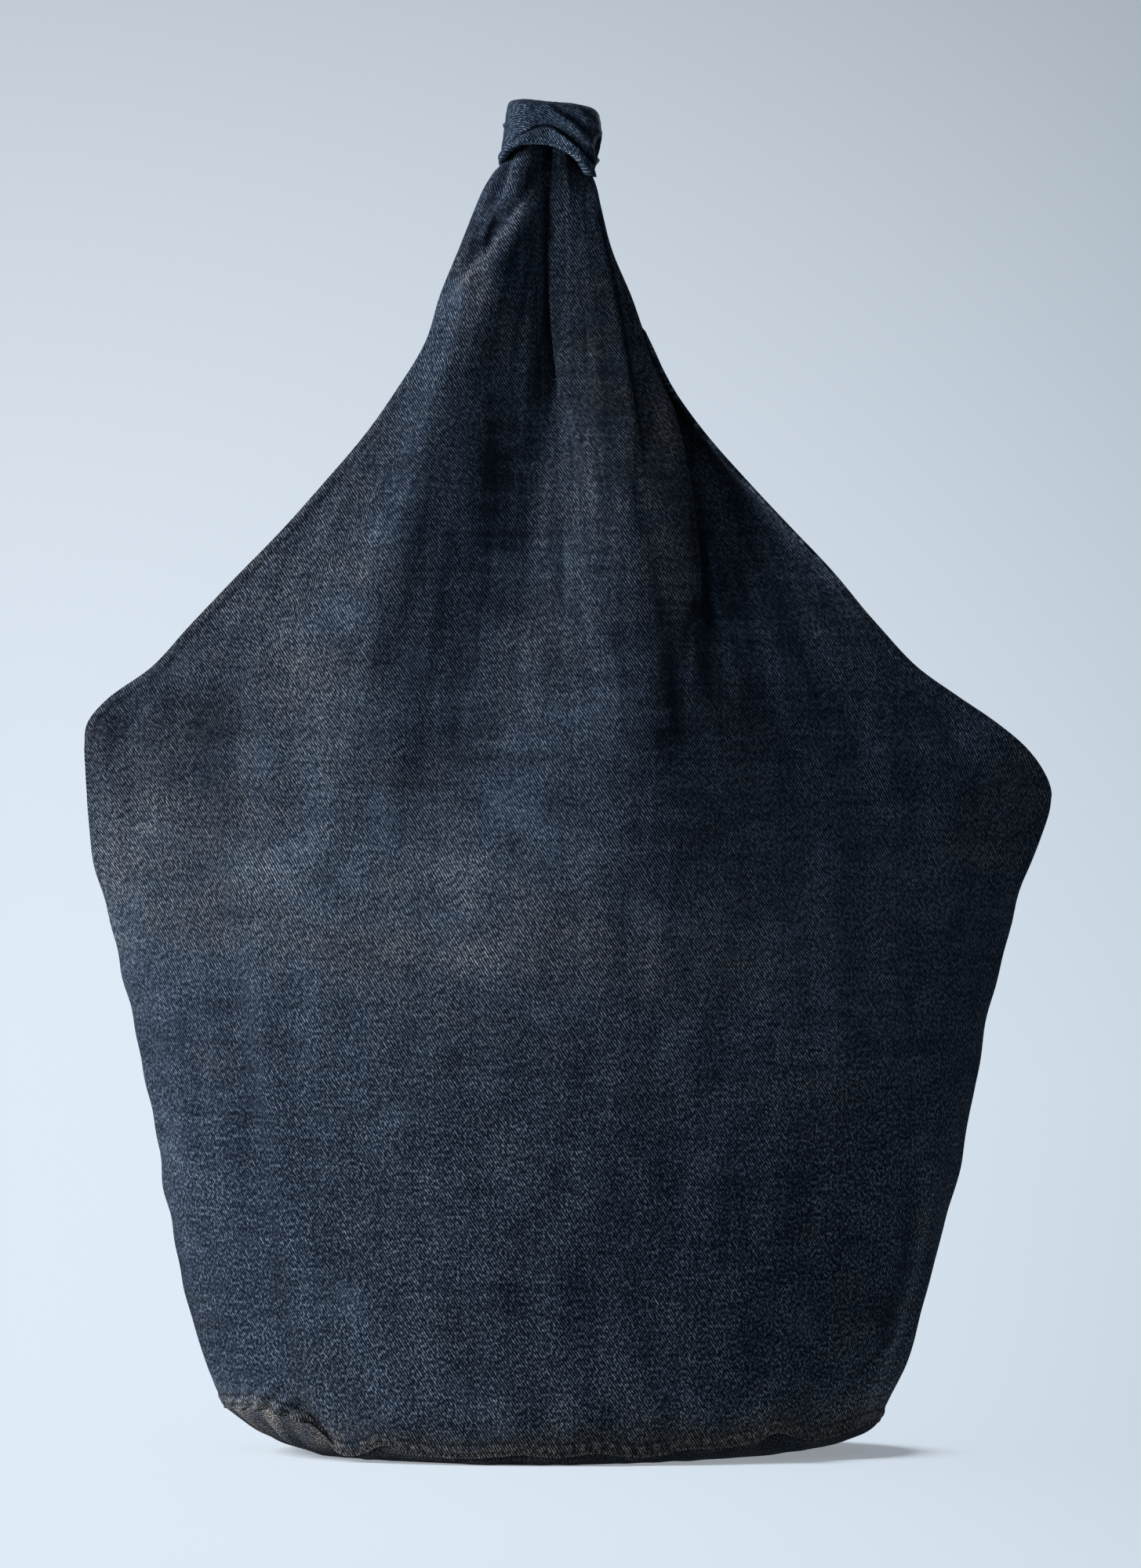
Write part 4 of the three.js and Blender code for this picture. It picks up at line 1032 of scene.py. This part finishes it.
face = denim("denim face", (0.0022, 0.0045, 0.0095), (0.182, 0.227, 0.302))
reverse = denim("denim reverse", (0.012, 0.016, 0.025), (0.18, 0.22, 0.26), worn=0.7)
knot_face = denim("denim knot", (0.006, 0.011, 0.02), (0.19, 0.25, 0.345), worn=0.58, contrast=0.8)
dress(front, ["front_panel"], face, reverse)
dress(back, ["back_panel"], face, reverse)
dress(bottom, ["base_panel"], face, reverse)
dress(wrap, ["knot_wrap"], knot_face, reverse)
dress(seam_thread, [], thread("tan thread", (0.27, 0.235, 0.19)))
dress(upper_thread, [], thread("brown thread", (0.075, 0.066, 0.056)))
dress(hem_thread, [], thread("navy thread", (0.05, 0.062, 0.085)))
dress(knot_thread, [], thread("blue thread", (0.09, 0.12, 0.17)))


# Where the distant lamp stands, and its light in watts a square metre
LAMP_WAY = np.array([-0.84, 0.1, 0.5]) / np.linalg.norm([-0.84, 0.1, 0.5])
LAMP_POWER = 3.4

# What the paper sends back of the lamp's light, where it faces the lamp squarely, and of the room's
LAMP_RETURN = 0.301 * LAMP_POWER
ROOM_RETURN = 0.108

# How bright the paper is at the floor on the left and on the right, and the change with height and its square
PAPER_LEFT = (0.82, -0.05, -0.057)
PAPER_RIGHT = (0.662, -0.15)


def sweep():
    """Floor and backdrop in one: a flat floor out to 4.6 m, then a quarter circle up into a round wall. It also
    keeps how squarely each place faces the distant lamp."""
    spokes, flat_end, bend, height = 96, 4.6, 4.0, 3.0
    turn = 2 * math.pi * np.arange(spokes)[None, :] / spokes
    run = np.concatenate([np.linspace(0.05, flat_end, 12), flat_end + np.linspace(0.15, bend * math.pi / 2, 30),
                          flat_end + bend * math.pi / 2 + np.linspace(0.3, height, 6)])[:, None]
    arc = np.clip((run - flat_end) / bend, 0, math.pi / 2)
    out = np.minimum(run, flat_end) + bend * np.sin(arc)
    up = bend * (1 - np.cos(arc)) + np.maximum(run - flat_end - bend * math.pi / 2, 0)
    places = np.stack([out * np.cos(turn), out * np.sin(turn), up + 0 * turn], axis=-1).reshape(-1, 3)
    numbers = np.arange(len(places)).reshape(len(run), spokes)
    middle = np.stack([np.full(spokes, len(places)), numbers[0], np.roll(numbers[0], -1)], axis=1)
    places = np.concatenate([places, [[0, 0, 0]]]) / MM
    facing = LAMP_WAY[2] * np.cos(arc) - (LAMP_WAY[0] * np.cos(turn) + LAMP_WAY[1] * np.sin(turn)) * np.sin(arc)
    marks = {"facing": np.append(np.maximum(facing, 0).ravel(), LAMP_WAY[2])}
    return make_mesh("sweep", places, grid_quads(numbers, closed=True, flip=True), middle, marks=marks)


def paper(name):
    """Pale blue paper whose glow is painted light, so that what it sends out with the distant lamp's light is
    brightest low on the left and falls off towards the right and the top."""
    material, tree, shader = new_material(name, roughness=0.95, specular=0.0)
    place = add(tree, "ShaderNodeTexCoord").outputs["Object"]
    parts = add(tree, "ShaderNodeSeparateXYZ", {0: place}).outputs
    away = add(tree, "ShaderNodeVectorMath", {0: place}, operation="LENGTH").outputs["Value"]
    # From -1 on the left to 1 on the right of a strip that widens away from the bag
    across = maths(tree, "DIVIDE", parts[0], remap(tree, away, 0.0, 8.0, 0.33, 1.1))
    share = maths(tree, "POWER", remap(tree, across, -1.0, 1.0), 2.2)
    up = maths(tree, "MINIMUM", parts[2], 1.7)
    left = maths(tree, "MULTIPLY_ADD", maths(tree, "MULTIPLY", up, up), PAPER_LEFT[2], PAPER_LEFT[0])
    left = maths(tree, "MULTIPLY_ADD", up, PAPER_LEFT[1], left)
    right = maths(tree, "MULTIPLY_ADD", up, PAPER_RIGHT[1], PAPER_RIGHT[0])
    whole = maths(tree, "MULTIPLY_ADD", share, maths(tree, "SUBTRACT", right, left), left)
    lamp = add(tree, "ShaderNodeAttribute", attribute_name="facing").outputs["Fac"]
    shade = maths(tree, "MULTIPLY_ADD", whole, 1.33, -ROOM_RETURN)
    shade = maths(tree, "MULTIPLY_ADD", lamp, -LAMP_RETURN, shade)
    glow = mixed(tree, maths(tree, "MAXIMUM", shade, 0.0), (0, 0, 0, 1), (0.709, 0.762, 0.828, 1))
    tree.links.new(glow, shader.inputs["Emission Color"])
    shader.inputs["Emission Strength"].default_value = 1.0
    shader.inputs["Base Color"].default_value = (0.683, 0.75, 0.819, 1)
    return material


backdrop = sweep()
backdrop.data.materials.append(paper("pale paper"))
backdrop.visible_diffuse = False
backdrop.visible_glossy = False


def add_light(name, kind, way, power, colour):
    """Light of a kind that shines along a way."""
    light = add_object(name, bpy.data.lights.new(name, kind))
    light.data.energy = power
    light.data.color = colour
    light.rotation_euler = Vector(way).to_track_quat("-Z", "Y").to_euler()
    return light


def softbox(name, place, size, power):
    """Square area light at a place, aimed at the bag's middle, in watts."""
    light = add_light(name, "AREA", Vector((0, 0, 0.35)) - Vector(place), power, (0.92, 0.97, 1.0))
    light.data.size = size
    light.location = place
    return light


def lights_only(light, pieces, state="INCLUDE"):
    """Makes a light fall on the pieces alone, or on everything but them."""
    linked = bpy.data.collections.new(light.name + " falls on")
    for piece in pieces:
        linked.objects.link(piece)
    light.light_linking.receiver_collection = linked
    for held in linked.collection_objects:
        held.light_linking.link_state = state


key = softbox("key", (-2.6, -0.9, 0.9), size=1.4, power=82)
overhead = add_light("overhead", "SUN", -LAMP_WAY, LAMP_POWER, (0.93, 0.97, 1.0))
overhead.data.angle = math.radians(30)
behind = softbox("behind", (1.2, 3.0, 1.4), size=2.0, power=60)

# The key leaves out the paper, so that the bag's long shadow doesn't cross it. The distant lamp falls on the
# paper alone, with the bag's base for its shadow, and the last light on the back of the bag
lights_only(key, [backdrop], "EXCLUDE")
lights_only(overhead, [backdrop])
overhead.light_linking.blocker_collection = bpy.data.collections.new("overhead is shaded by")
overhead.light_linking.blocker_collection.objects.link(bottom)
lights_only(behind, [back, bottom, wrap])

world = bpy.data.worlds.new("room")
world.use_nodes = True
world.node_tree.nodes["Background"].inputs["Color"].default_value = (0.72, 0.86, 1.0, 1)
world.node_tree.nodes["Background"].inputs["Strength"].default_value = 0.13
bpy.context.scene.world = world
bpy.context.scene.view_settings.view_transform = "Standard"
